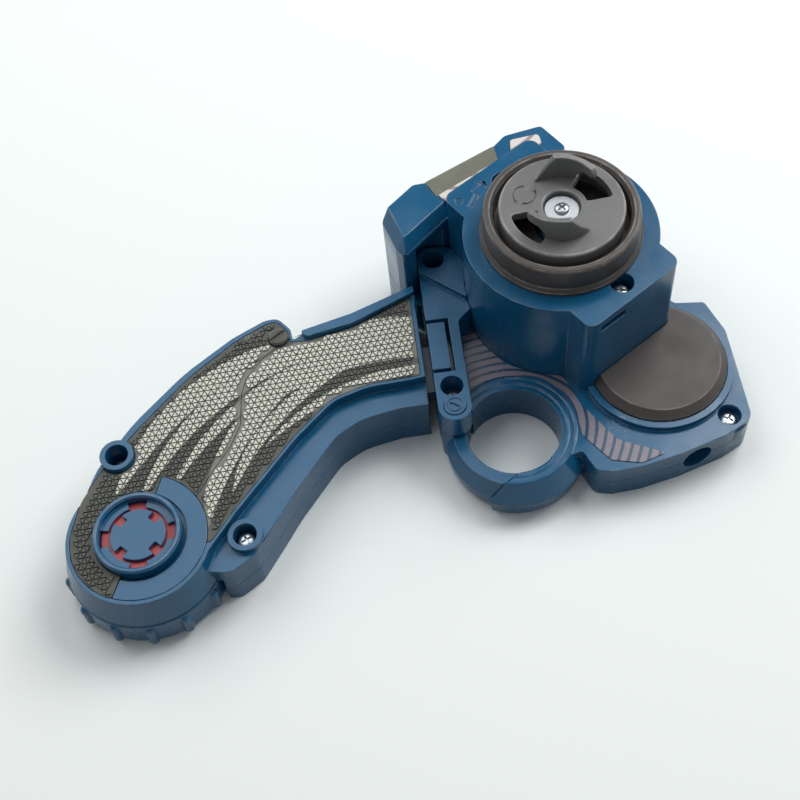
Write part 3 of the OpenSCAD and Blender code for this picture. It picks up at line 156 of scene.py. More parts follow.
# Finishes
@dataclass(frozen=True)
class Plastic:
    """An injection-moulded plastic with a fine eroded mould texture.

    The grain gives the eye a soft broken highlight, slow mottling keeps wide faces from looking
    painted, the rounded edges are painted lighter, partly as wear and partly as a painted highlight
    along them, and a few small nicks are scuffed lighter. Real mould grain is about 0.1 mm, and is
    drawn 0.45 mm wide here so that it shows. Noise keeps near 0.5, so the ranges that it is mapped
    from pick its middle, or its rare peaks for the nicks.

    Attributes:
        swing: How far smears raise and lower the roughness.
        grain, grain_mm, grain_deep: Strength, width and depth of the mould's grain.
        mottle: Share by which the colour wanders.
        rubbed_and_highlit, nicks: How strongly edges are painted lighter, partly as wear and partly as
            a painted highlight, and how strongly small nicks are scuffed lighter.
        bleach_and_sheen: Share of the colour that a lightened spot keeps, and the white that it gains;
            along the edges this lightening is partly a painted highlight.
        cloud_mm, dust_mm: Widths of the slow and of the fine mottling.
        patch_mm: Width of the stretches along an edge that are painted lighter more or less.
        region_mm: Width of the regions that have nicks.
    """

    name: str
    colour: str
    roughness: float = 0.42
    swing: float = 0.08
    grain_mm: float = 0.45
    grain: float = 0.10
    grain_deep: float = 0.05
    mottle: float = 0.05
    ior: float = 1.50
    # Edges painted lighter are partly wear and partly a painted highlight; nicks are wear
    rubbed_and_highlit: float = 0.45
    nicks: float = 0.6
    bleach_and_sheen: Pair = (0.55, 0.22)
    cloud_mm: float = 18.0
    dust_mm: float = 0.9
    patch_mm: float = 4.0
    nick_mm: float = 0.7
    region_mm: float = 16.0
    smear_mm: float = 9.0

    def colour_socket(self, tree: Tree, where: Socket) -> Socket:
        """Mixes the colour with its slow mottling.

        Args:
            tree: Node tree of the material.
            where: Object coordinates.

        Returns:
            The colour.
        """
        cloud = add(tree, "TexNoise", {"Vector": where, "Scale": per_mm(self.cloud_mm), "Detail": 4.0})
        dust = add(tree, "TexNoise", {"Vector": where, "Scale": per_mm(self.dust_mm), "Detail": 2.0})
        both = add(tree, "Math", {0: cloud, 1: dust}, operation="ADD")
        level = add(tree, "MapRange", {"Value": both, "From Min": 0.7, "From Max": 1.3,
                                       "To Min": 1 - self.mottle, "To Max": 1 + self.mottle})
        tint = add(tree, "VectorMath", {0: linear(self.colour)[:3], "Scale": level}, operation="SCALE")
        return tint.outputs[0]

    def wear_and_highlight_socket(self, tree: Tree, where: Socket) -> Socket:
        """Finds how far each spot is lightened: edges as wear and painted highlight, small nicks as wear.

        Args:
            tree: Node tree of the material.
            where: Object coordinates.

        Returns:
            Wear and painted highlight from 0 to 1.
        """
        edge = add(tree, "Attribute", attribute_name=EDGE)
        patchy = add(tree, "TexNoise", {"Vector": where, "Scale": per_mm(self.patch_mm), "Detail": 6.0})
        # Along each edge the lightening, partly wear and partly a painted highlight, comes in patches
        rub_and_sheen = add(tree, "MapRange", {"Value": patchy, "From Min": 0.42, "From Max": 0.62,
                                     "To Min": 0.15 * self.rubbed_and_highlit, "To Max": self.rubbed_and_highlit})
        rims = add(tree, "Math", {0: edge.outputs["Fac"], 1: rub_and_sheen}, operation="MULTIPLY")
        fine = add(tree, "TexNoise", {"Vector": where, "Scale": per_mm(self.nick_mm), "Detail": 1.0})
        regions = add(tree, "TexNoise", {"Vector": where, "Scale": per_mm(self.region_mm), "Detail": 2.0})
        both = add(tree, "Math", {0: fine, 1: regions}, operation="ADD")
        nick = add(tree, "MapRange", {"Value": both, "From Min": 1.34, "From Max": 1.42,
                                      "To Max": self.nicks})
        return add(tree, "Math", {0: rims, 1: nick}, operation="MAXIMUM").outputs[0]

    def material(self) -> bpy.types.Material:
        """Builds the material once.

        Returns:
            The material.
        """
        if self.name in bpy.data.materials:
            return bpy.data.materials[self.name]
        made = blank(self.name)
        tree = made.node_tree
        where = add(tree, "TexCoord").outputs["Object"]
        grain = add(tree, "TexNoise", {"Vector": where, "Scale": per_mm(self.grain_mm), "Detail": 3.0})
        bump = add(tree, "Bump", {"Height": grain, "Strength": self.grain, "Distance": self.grain_deep * MM})
        smear = add(tree, "TexNoise", {"Vector": where, "Scale": per_mm(self.smear_mm), "Detail": 5.0})
        rough = add(tree, "MapRange", {"Value": smear, "From Min": 0.35, "From Max": 0.65,
                                       "To Min": self.roughness - self.swing,
                                       "To Max": self.roughness + self.swing})
        # Lighter colour of worn nicks, and of edges that are partly worn and partly a painted highlight
        share, white = self.bleach_and_sheen
        rubbed_and_highlit = tuple(share * c + white for c in linear(self.colour)[:3])
        worn = add(tree, "Mix", {0: self.wear_and_highlight_socket(tree, where), 6: self.colour_socket(tree, where),
                                 7: (*rubbed_and_highlit, 1.0)}, data_type="RGBA")
        shader = add(tree, "BsdfPrincipled", {"Base Color": worn.outputs[2], "Roughness": rough,
                                              "IOR": self.ior, "Normal": bump})
        add(tree, "OutputMaterial", {"Surface": shader})
        return made


# Deep blue with a satin sheen that pales faces turned to the light and keeps the shaded ones rich
BLUE_ABS = Plastic("blue ABS, spark-eroded mould", "125A82", 0.24, 0.06, grain=0.05)
# Flat warm grey that shows hardly any highlight beside the blue
COVER_ABS = Plastic("warm grey ABS, matt mould", "4E4946", 0.50)
# Brown grey with a narrow sheen along the collar's round wall, and rims painted well lighter, partly as wear
# and partly as a painted highlight
COLLAR_ABS = Plastic("brown grey ABS, satin mould", "4A4440", 0.40, rubbed_and_highlit=0.7)
# Lighter, slightly waxy grey whose edges, painted lighter partly as wear and partly as a painted highlight,
# draw the windows and the claws
DISC_ACETAL = Plastic("mid grey acetal, satin mould", "707170", 0.36, rubbed_and_highlit=0.85)
# Creamy white of unpainted bearings, soft and a little greasy
WHITE_ACETAL = Plastic("natural acetal, satin mould", "D9D6CC", 0.40)
# Smooth grey green that mirrors the room softly, as a tinted window does
WINDOW_GREY = Plastic("grey-green styrene, polished mould", "77786C", 0.25, grain=0.02)
# Muted red with a clear highlight, a thin bright ring inside the dial
RED_ABS = Plastic("red ABS, satin mould", "A8323A", 0.35)
# Dull olive grey without a clear highlight, as a soft elastomer
PAD_RUBBER = Plastic("olive grey elastomer, matt mould", "4F514B", 0.55)


@dataclass(frozen=True)
class Metal:
    """A plated steel with fine turning marks.

    Attributes:
        duller: How far the marks lower and raise the roughness.
    """

    name: str
    colour: str
    roughness: float = 0.28
    duller: Pair = (0.08, 0.12)
    mark_mm: float = 0.8
    mark: float = 0.15
    mark_deep: float = 0.05

    def material(self) -> bpy.types.Material:
        """Builds the material once.

        Returns:
            The material.
        """
        if self.name in bpy.data.materials:
            return bpy.data.materials[self.name]
        made = blank(self.name)
        tree = made.node_tree
        where = add(tree, "TexCoord").outputs["Object"]
        smear = add(tree, "TexNoise", {"Vector": where, "Scale": per_mm(self.mark_mm), "Detail": 4.0})
        lower, raised = self.duller
        rough = add(tree, "MapRange", {"Value": smear, "To Min": self.roughness - lower,
                                       "To Max": self.roughness + raised})
        bump = add(tree, "Bump", {"Height": smear, "Strength": self.mark, "Distance": self.mark_deep * MM})
        shader = add(tree, "BsdfPrincipled", {"Base Color": linear(self.colour), "Metallic": 1.0,
                                              "Roughness": rough, "Normal": bump})
        add(tree, "OutputMaterial", {"Surface": shader})
        return made


# Cool bright grey with a slightly dull glint, which marks the screws as metal at once
ZINC = Metal("zinc plated steel, turned", "C9CFD4", 0.32)
Finish = Plastic | Metal


@dataclass(frozen=True)
class WavedFilm(Plastic):
    """Printed film with a flow of wave lines around a point, a thin drawing on a quiet ground.

    Attributes:
        bend: How far the lines stray from circles round the centre.
        sharp: Heights of the wave at which a line begins and is full.
    """

    line_colour: str = "2C4A66"
    line_mm: float = 2.6
    bend: float = 7.0
    centre: Pair = (-18.9, -41.6)
    sharp: Pair = (0.66, 0.80)

    def colour_socket(self, tree: Tree, where: Socket) -> Socket:
        """Lays the lines over the mottled ground and returns the socket."""
        x, y = self.centre
        about = add(tree, "Mapping", {"Vector": where, "Location": (-x * MM, -y * MM, 0)})
        wave = add(tree, "TexWave", {"Vector": about, "Scale": per_mm(self.line_mm) / WAVES,
                                     "Distortion": self.bend, "Detail": 1.0, "Detail Scale": 0.22},
                   wave_type="RINGS", rings_direction="Z")
        line = add(tree, "MapRange", {"Value": wave.outputs["Fac"], "From Min": self.sharp[0],
                                      "From Max": self.sharp[1]})
        mixed = add(tree, "Mix", {0: line, 6: super().colour_socket(tree, where),
                                  7: linear(self.line_colour)}, data_type="RGBA")
        return mixed.outputs[2]


# Pinkish silver under thin blue lines, glossy enough to flash beside the satin deck
FOIL_FILM = WavedFilm("waved pinkish silver and blue film, printed", "817C88", 0.24, grain=0.03)
# Almost white strip with a few soft streaks, the palest spot on the launcher
LABEL_FILM = WavedFilm("streaked silver white film, printed", "E0DAD4", 0.26, grain=0.03,
                       line_colour="A58F93", line_mm=4.2, bend=6.0, centre=(-20.0, 60.0),
                       sharp=(0.80, 0.88))


@dataclass(frozen=True)
class Streak:
    """One tapered streak of the pads' print, along and across the grip's bend.

    Attributes:
        start, end: Ends along the bend, from 0 at the bracket to 1 at the dial.
        across_start, across_end: Middle at each end, in millimetres outwards from the bend.
    """

    start: float
    end: float
    across_start: float
    across_end: float
    half_width: float


@dataclass(frozen=True)
class PrintedRubber(Plastic):
    """Elastomer with a silver print of long blades, a dull ground under a bright broken pattern.

    The blades follow the grip's bend, a spiral whose radius shrinks as its angle grows.

    Attributes:
        bend, bend_r: Middle of the bend in the plan, and its radius at the bracket.
        unwind: Millimetres that the radius shrinks by per degree.
        first_angle, sweep: Angle of the bracket's end, and degrees from there to the dial's.
        level: Height above which the print lies in full, on the raised triangles.
        between: Strength of the print in the grooves between them.
        taper: Power of a blade's outline, below 1 for blunt ends.
        crisp: How steeply a blade's rim rises, per millimetre.
        ragged: How far the rims stray.
        worn_below: Noise below which the print is gone.
    """

    print_colour: str = "D9DACD"
    bend: Pair = (-62.0, -92.0)
    bend_r: float = 78.0
    unwind: float = 0.283
    first_angle: float = 78.0
    sweep: float = 72.0
    level: float = 20.3
    between: float = 0.18
    taper: float = 0.75
    crisp: float = 5.0
    ragged: float = 0.9
    ragged_mm: float = 1.2
    worn_mm: float = 0.5
    worn_below: float = 0.36
    streaks: tuple[Streak, ...] = (
        Streak(0.33, 0.96, 14.6, 18.4, 3.4), Streak(0.40, 0.64, 13.5, 20.0, 1.4),
        Streak(-0.50, 0.95, 6.4, 11.2, 3.5), Streak(-0.50, 0.88, 2.2, 4.0, 2.4),
        Streak(0.26, 0.92, 2.6, -9.4, 3.7), Streak(-0.60, 0.62, -1.8, 0.2, 2.2),
        Streak(0.12, 0.74, -0.4, -12.2, 2.3), Streak(-0.40, 0.52, -4.4, -11.2, 1.8))

    def colour_socket(self, tree: Tree, where: Socket) -> Socket:
        """Lays the silver blades over the mottled ground and returns the socket."""
        mask = self.blades(tree, where)
        worn = add(tree, "TexNoise", {"Vector": where, "Scale": per_mm(self.worn_mm), "Detail": 3.0})
        kept = add(tree, "Math", {0: worn, 1: self.worn_below}, operation="GREATER_THAN")
        height = add(tree, "SeparateXYZ", {0: where}).outputs[2]
        high = add(tree, "Math", {0: height, 1: self.level * MM}, operation="GREATER_THAN")
        laid = add(tree, "Math", {0: high, 1: self.between}, operation="MAXIMUM")
        held = add(tree, "Math", {0: kept, 1: laid}, operation="MULTIPLY")
        cover = add(tree, "Math", {0: mask, 1: held}, operation="MULTIPLY", use_clamp=True)
        mixed = add(tree, "Mix", {0: cover, 6: super().colour_socket(tree, where),
                                  7: linear(self.print_colour)}, data_type="RGBA")
        return mixed.outputs[2]

    def blades(self, tree: Tree, where: Socket) -> bpy.types.Node:
        """Draws the blades.

        Args:
            tree: Node tree of the material.
            where: Object coordinates.

        Returns:
            Node that gives 1 inside a blade and 0 outside.
        """
        x, y = self.bend
        about = add(tree, "Mapping", {"Vector": where, "Location": (-x * MM, -y * MM, 0)})
        flat = add(tree, "VectorMath", {0: about, 1: (1, 1, 0)}, operation="MULTIPLY")
        reach = add(tree, "VectorMath", {0: flat}, operation="LENGTH").outputs["Value"]
        parts = add(tree, "SeparateXYZ", {0: about})
        angle = add(tree, "Math", {0: parts.outputs[1], 1: parts.outputs[0]}, operation="ARCTAN2")
        first, last = math.radians(self.first_angle), math.radians(self.first_angle + self.sweep)
        along = add(tree, "MapRange", {"Value": angle, "From Min": first, "From Max": last}, clamp=False)
        drift = add(tree, "MapRange", {"Value": along, "To Min": -self.bend_r,
                                       "To Max": self.unwind * self.sweep - self.bend_r}, clamp=False)
        smooth_rim = add(tree, "Math", {0: reach, 1: 1 / MM, 2: drift}, operation="MULTIPLY_ADD")
        noise = add(tree, "TexNoise", {"Vector": where, "Scale": per_mm(self.ragged_mm), "Detail": 3.0})
        stray = add(tree, "MapRange", {"Value": noise, "To Min": -self.ragged / 2,
                                       "To Max": self.ragged / 2}, clamp=False)
        across = add(tree, "Math", {0: smooth_rim, 1: stray}, operation="ADD")
        mask: bpy.types.Node | float = 0.0
        for streak in self.streaks:
            ends = {"Value": along, "From Min": streak.start, "From Max": streak.end}
            # The share runs from -1 to 1 along the blade, which is widest at 0
            share = add(tree, "MapRange", {**ends, "To Min": -1.0, "To Max": 1.0}, clamp=False)
            square = add(tree, "Math", {0: share, 1: share}, operation="MULTIPLY")
            bow = add(tree, "Math", {0: 1.0, 1: square}, operation="SUBTRACT", use_clamp=True)
            lens = add(tree, "Math", {0: bow, 1: self.taper}, operation="POWER")
            width = add(tree, "Math", {0: lens, 1: streak.half_width}, operation="MULTIPLY")
            middle = add(tree, "MapRange", {**ends, "To Min": streak.across_start,
                                            "To Max": streak.across_end}, clamp=False)
            side = add(tree, "Math", {0: across, 1: middle}, operation="SUBTRACT")
            off = add(tree, "Math", {0: side}, operation="ABSOLUTE")
            left = add(tree, "Math", {0: width, 1: off}, operation="SUBTRACT")
            inside = add(tree, "Math", {0: left, 1: self.crisp}, operation="MULTIPLY")
            mask = add(tree, "Math", {0: mask, 1: inside}, operation="MAXIMUM", use_clamp=True)
        return mask


# Olive grey under silver blades that glitter on the raised triangles
PRINTED_PAD = PrintedRubber("olive grey elastomer with silver print", "4F514B", 0.50)


# Modelling steps
class Groups:
    """Numbered things joined into groups, each led by one of them."""

    def __init__(self, count: int) -> None:
        """Starts with each thing in a group of its own."""
        self.leads = list(range(count))

    def lead(self, one: int) -> int:
        """Returns the number that leads the group of one thing."""
        while self.leads[one] != one:
            self.leads[one] = self.leads[self.leads[one]]
            one = self.leads[one]
        return one

    def join(self, one: int, other: int) -> None:
        """Joins the groups of two things."""
        self.leads[self.lead(one)] = self.lead(other)


def pick(piece: Piece) -> None:
    """Makes one piece the only selected and active one."""
    bpy.ops.object.select_all(action="DESELECT")
    piece.select_set(True)
    bpy.context.view_layer.objects.active = piece


def edit(piece: Piece, mode: str = "EDGE", whole: bool = False) -> None:
    """Opens a piece in edit mode with nothing selected, or with the whole piece."""
    pick(piece)
    bpy.ops.object.mode_set(mode="EDIT")
    bpy.ops.mesh.select_mode(type=mode)
    bpy.ops.mesh.select_all(action="SELECT" if whole else "DESELECT")


def close() -> None:
    """Goes back to object mode."""
    bpy.ops.object.mode_set(mode="OBJECT")


def merge(piece: Piece, doubles: float = 0.002, flat: float = 0.5) -> None:
    """Merges vertices closer than doubles millimetres, and faces that lie flat within some degrees."""
    edit(piece, "VERT", whole=True)
    bpy.ops.mesh.remove_doubles(threshold=doubles * MM)
    bpy.ops.mesh.dissolve_limited(angle_limit=math.radians(flat))
    close()


def cad_copy(node: str, name: str) -> Piece:
    """Copies a CAD node's mesh into a piece of its own, merged and with whole flat faces.

    Args:
        node: CAD node to copy.
        name: Name of the new piece.

    Returns:
        The new piece.
    """
    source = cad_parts[node]
    piece = bpy.data.objects.new(name, source.data.copy())
    piece.data.materials.clear()
    bpy.context.scene.collection.objects.link(piece)
    merge(piece)
    return piece


def settle(piece: Piece) -> None:
    """Merges a piece's doubles and its flat faces, and turns the faces outwards."""
    merge(piece)
    edit(piece, "VERT", whole=True)
    bpy.ops.mesh.normals_make_consistent(inside=False)
    close()


def turned(name: str, outline: Sequence[Pair], centre: Pair = (0.0, 0.0),
           start: float = 0.0, sweep: float = 360.0, steps: int = 64, ring: bool = True) -> Piece:
    """Turns an outline about an upright axis, whole or over an arc with closed ends.

    Args:
        name: Name of the new piece.
        outline: Distance from the axis and height of each corner, in millimetres.
        centre: Place of the axis in the plan.
        start: Angle of the first section in degrees.
        sweep: Angle turned through in degrees.
        steps: Sections along the sweep.
        ring: Whether the outline closes on itself; else its ends lie on the axis.

    Returns:
        The turned piece.
    """
    bpy.ops.object.select_all(action="DESELECT")
    bpy.ops.mesh.primitive_circle_add(vertices=len(outline), radius=MM, location=(0, 0, 0))
    piece = bpy.context.active_object
    piece.name = name
    cos, sin = math.cos(math.radians(start)), math.sin(math.radians(start))
    for vertex, (reach, height) in zip(piece.data.vertices, outline):
        vertex.co = Vector((centre[0] + reach * cos, centre[1] + reach * sin, height)) * MM
    edit(piece)
    if not ring:
        close()
        last = {0, len(outline) - 1}
        for line in piece.data.edges:
            line.select = set(line.vertices) == last
        bpy.ops.object.mode_set(mode="EDIT")
        bpy.ops.mesh.delete(type="EDGE")
    bpy.ops.mesh.select_all(action="SELECT")
    # Spin turns clockwise about its axis, so an axis that points down turns anticlockwise
    bpy.ops.mesh.spin(steps=steps, angle=math.radians(sweep), center=Vector((*centre, 0)) * MM,
                      axis=(0, 0, -1))
    bpy.ops.mesh.select_all(action="SELECT")
    bpy.ops.mesh.remove_doubles(threshold=0.001 * MM)
    bpy.ops.mesh.select_all(action="SELECT")
    bpy.ops.mesh.fill_holes(sides=0)
    bpy.ops.mesh.select_all(action="SELECT")
    bpy.ops.mesh.normals_make_consistent(inside=False)
    close()
    return piece


def cut(piece: Piece, cutter: Piece) -> None:
    """Cuts the cutter out of a piece and clears it away."""
    bore = piece.modifiers.new("cut", "BOOLEAN")
    bore.operation = "DIFFERENCE"
    bore.solver = "EXACT"
    bore.object = cutter
    pick(piece)
    bpy.ops.object.modifier_apply(modifier=bore.name)
    bpy.data.objects.remove(cutter)


def bar(name: str, start: Sequence[float], end: Sequence[float], width: float) -> Piece:
    """Makes a square bar between two points in millimetres, a little longer than their distance."""
    way = Vector(end) - Vector(start)
    bpy.ops.object.select_all(action="DESELECT")
    bpy.ops.mesh.primitive_cube_add(size=1, location=(Vector(start) + way / 2) * MM,
                                    rotation=way.to_track_quat("Z", "Y").to_euler(),
                                    scale=(width * MM, width * MM, (way.length + width) * MM))
    piece = bpy.context.active_object
    piece.name = name
    bpy.ops.object.transform_apply(location=True, rotation=True, scale=True)
    return piece


def copied(piece: Piece, name: str, turn: float = 0.0,
           shift: Sequence[float] = (0.0, 0.0, 0.0)) -> Piece:
    """Copies a piece with a mesh of its own, turned about the frame's upright axis and shifted.

    Args:
        piece: Piece to copy.
        name: Name of the copy.
        turn: Turn in degrees.
        shift: Shift in millimetres.

    Returns:
        The copy.
    """
    other = bpy.data.objects.new(name, piece.data.copy())
    bpy.context.scene.collection.objects.link(other)
    other.data.transform(Matrix.Translation(Vector(shift) * MM) @ Matrix.Rotation(math.radians(turn), 4, "Z"))
    return other


def breadth(mesh: bpy.types.Mesh, face: bpy.types.MeshPolygon) -> float:
    """Returns the mean width across a face in millimetres."""
    round_it = sum((mesh.vertices[a].co - mesh.vertices[b].co).length for a, b in face.edge_keys)
    return 2 * face.area / round_it / MM


def split_thin(piece: Piece, width: float) -> None:
    """Splits a piece's many-cornered faces that are narrower than width millimetres into triangles."""
    edit(piece, "FACE")
    close()
    for face in piece.data.polygons:
        face.select = len(face.vertices) > 4 and breadth(piece.data, face) < width
    bpy.ops.object.mode_set(mode="EDIT")
    bpy.ops.mesh.quads_convert_to_tris(quad_method="BEAUTY", ngon_method="BEAUTY")
    close()


def soften(piece: Piece, width: float, angle: float = 32, segments: int = 2,
           where: Test | None = None) -> None:
    """Rounds the sharp edges of a piece.

    Args:
        piece: Piece to change.
        width: Width of the rounding in millimetres.
        angle: Least angle between two faces, in degrees, that counts as sharp.
        segments: Faces across the rounding.
        where: Test in millimetres that both ends of an edge have to pass.
    """
    edit(piece)
    bpy.ops.mesh.edges_select_sharp(sharpness=math.radians(angle))
    close()
    mesh = piece.data
    if where is not None:
        for edge in mesh.edges:
            if edge.select and not all(where(mesh.vertices[v].co / MM) for v in edge.vertices):
                edge.select = False
    pick(piece)
    bpy.ops.object.mode_set(mode="EDIT")
    bpy.ops.mesh.bevel(offset=width * MM, segments=segments, affect="EDGES", clamp_overlap=False,
                       miter_outer="ARC", loop_slide=False)
    close()
    # The narrow rounding faces are marked for the finishes to paint lighter, partly as wear and partly as a
    # painted highlight
    worn = mesh.attributes.get(EDGE) or mesh.attributes.new(EDGE, "FLOAT", "FACE")
    # Wide faces that the bevel also selects lie between two roundings and aren't painted lighter
    widest = 1.2 * width
    for face in mesh.polygons:
        if face.select and breadth(mesh, face) < widest:
            worn.data[face.index].value = 1.0


def smooth(piece: Piece, angle: float = 35, flat: float = 0.8) -> None:
    """Shades a piece smooth up to an angle, with its wide faces ruling the normals along them.

    Triangles that lie in one plane count as one face, so no thin one leaves a streak.

    Args:
        piece: Piece to shade.
        angle: Greatest angle between two faces, in degrees, that is shaded smooth.
        flat: Angle in degrees below which two faces count as one plane.
    """
    pick(piece)
    bpy.ops.object.shade_smooth_by_angle(angle=math.radians(angle))
    mesh = piece.data
    planes = Groups(len(mesh.polygons))
    fans = Groups(len(mesh.loops))
    sides: dict[int, list[int]] = {}
    for face in mesh.polygons:
        for loop in face.loop_indices:
            sides.setdefault(mesh.loops[loop].edge_index, []).append(loop)
    owner = [face.index for face in mesh.polygons for _ in face.loop_indices]
    after = [face.loop_start + (i + 1) % face.loop_total for face in mesh.polygons
             for i in range(face.loop_total)]
    level = math.cos(math.radians(flat))
    for edge, loops in sides.items():
        if len(loops) != 2:
            continue
        a, b = loops
        if mesh.polygons[owner[a]].normal.dot(mesh.polygons[owner[b]].normal) > level:
            planes.join(owner[a], owner[b])
        if not mesh.edges[edge].use_edge_sharp:
            same = mesh.loops[a].vertex_index == mesh.loops[b].vertex_index
            fans.join(a, b if same else after[b])
            fans.join(after[a], after[b] if same else b)
    sums: dict[int, Vector] = {}
    for face in mesh.polygons:
        lead = planes.lead(face.index)
        sums[lead] = sums.get(lead, Vector()) + face.normal * face.area
    rulers: dict[int, dict[int, Vector]] = {}
    for loop in range(len(mesh.loops)):
        plane = planes.lead(owner[loop])
        rulers.setdefault(fans.lead(loop), {})[plane] = sums[plane]
    normals = {fan: sum((way * way.length for way in ways.values()), Vector()).normalized()
               for fan, ways in rulers.items()}
    mesh.normals_split_custom_set([normals[fans.lead(loop)] for loop in range(len(mesh.loops))])


def dress(piece: Piece, finish: Finish, body: Body,
          nodes: Sequence[str] = ()) -> None:
    """Gives a piece its finish, its body and its place in the frame.

    Args:
        piece: Finished piece.
        finish: Its material's recipe.
        body: CAD body that it rides on.
        nodes: CAD nodes that it stands for.
    """
    piece.data.materials.clear()
    piece.data.materials.append(finish.material())
    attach(piece, body.value)
    if nodes:
        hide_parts(*nodes)
    LOG.info("%s: %d faces on %s", piece.name, len(piece.data.polygons), body.value)


@dataclass
class SubAssembly:
    """Pieces that share a body and a way of being made.

    Attributes:
        rounded: For each copied node its finish, its slot and the width of its rounded edges.
        kept: For each node shown as it is its finish.
        split: For some copied nodes the width below which faces are split before rounding.
    """

    body: Body = Body.LAUNCHER
    rounded: dict[str, tuple[Finish, Slot, float]] = field(default_factory=dict)
    kept: dict[str, Finish] = field(default_factory=dict)
    split: dict[str, float] = field(default_factory=dict)

    def build(self) -> None:
        """Rounds the edges of the copied nodes and dresses the kept ones."""
        for node, (finish, slot, width) in self.rounded.items():
            piece = cad_copy(node, node + "_moulded")
            if node in self.split:
                split_thin(piece, self.split[node])
            self.shape(piece, node)
            soften(piece, width)
            # A rounded corner may dip a hair below the floor that the launcher lies on
            for vertex in piece.data.vertices:
                vertex.co.z = max(vertex.co.z, CAD_BOX[0][2])
            smooth(piece)
            dress(piece, finish, self.body, [node])
        for node, finish in self.kept.items():
            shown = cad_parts[node]
            shown.data.materials.clear()
            shown.data.materials.append(finish.material())
            LOG.info("%s: kept", node)

    def shape(self, piece: Piece, node: str) -> None:
        """Leaves a copied node's shape as it is; a sub-assembly with more to shape does it here."""


@dataclass
class Bracket(SubAssembly):
    """The bracket between head and grip with its raised three-sided pad."""

    level: float = 22.4
    raised: float = 0.9

    def shape(self, piece: Piece, node: str) -> None:
        """Raises the pad on the bracket's top.

        Args:
            piece: Copy of the node.
            node: Its name, not used.
        """
        for vertex in piece.data.vertices:
            if vertex.co.z > self.level * MM:
                vertex.co.z += self.raised * MM


@dataclass
class Pod(SubAssembly):
    """The pod on the tower's side with its seam, its window and its label strip.

    Attributes:
        film: How far the window stands above the housing's top.
        window_out: How far its front, its back and its far end move outwards.
        strip_out: How far the label's strip widens at its start and at its end.
    """

    top: float = 38.0
    near: float = 0.1
    strip_edge: float = 0.3
    film: float = 0.12
    along: Pair = (0.87, 0.49)
    window_middle: Pair = (-23.5, 29.3)
    window_out: Point = (1.0, 1.1, 1.5)
    strip_foot: Pair = (-28.9, 20.3)
    strip_way: Pair = (0.839, 0.544)
    strip_out: Pair = (2.0, 0.7)
    strip_length: float = 24.5
    seam: tuple[Point, ...] = (
        (-42.6, 5.3, 13.5), (-42.6, 5.3, 34.2), (-28.0, 17.9, 34.2))
    seam_width: float = 0.35

    def shape(self, piece: Piece, node: str) -> None:
        """Cuts the seam into the housing, and spreads the window and the strip over its top.

        Args:
            piece: Copy of the node.
            node: Its name.
        """
        if node == "pod_housing":
            for start, end in zip(self.seam, self.seam[1:]):
                cut(piece, bar("seam", start, end, self.seam_width))
            settle(piece)
        elif node == "pod_window":
            self.spread_window(piece)
        else:
            self.spread_strip(piece)

    def spread_window(self, piece: Piece) -> None:
        """Moves the window's upper rim outwards and just above the housing's top."""
        ahead = Vector(self.along)
        left = Vector((-ahead.y, ahead.x))
        front, back, end = self.window_out
        for vertex in piece.data.vertices:
            place = vertex.co / MM
            if place.z < self.top - self.near:
                continue
            off = place.xy - Vector(self.window_middle)
            side = left * back if off.dot(left) > 0 else -left * front
            place.xy = place.xy + side + (ahead * end if off.dot(ahead) > 0 else Vector((0, 0)))
            place.z += self.film
            vertex.co = place * MM

    def spread_strip(self, piece: Piece) -> None:
        """Widens the label's strip away from the tower, less and less towards the label."""
        ahead = Vector(self.strip_way)
        left = Vector((-ahead.y, ahead.x))
        wide, narrow = self.strip_out
        for vertex in piece.data.vertices:
            place = vertex.co / MM
            off = place.xy - Vector(self.strip_foot)
            far = off.dot(ahead)
            if off.dot(left) > self.strip_edge and far < self.strip_length:
                place.xy = place.xy + left * (wide + (narrow - wide) * far / self.strip_length)
                vertex.co = place * MM


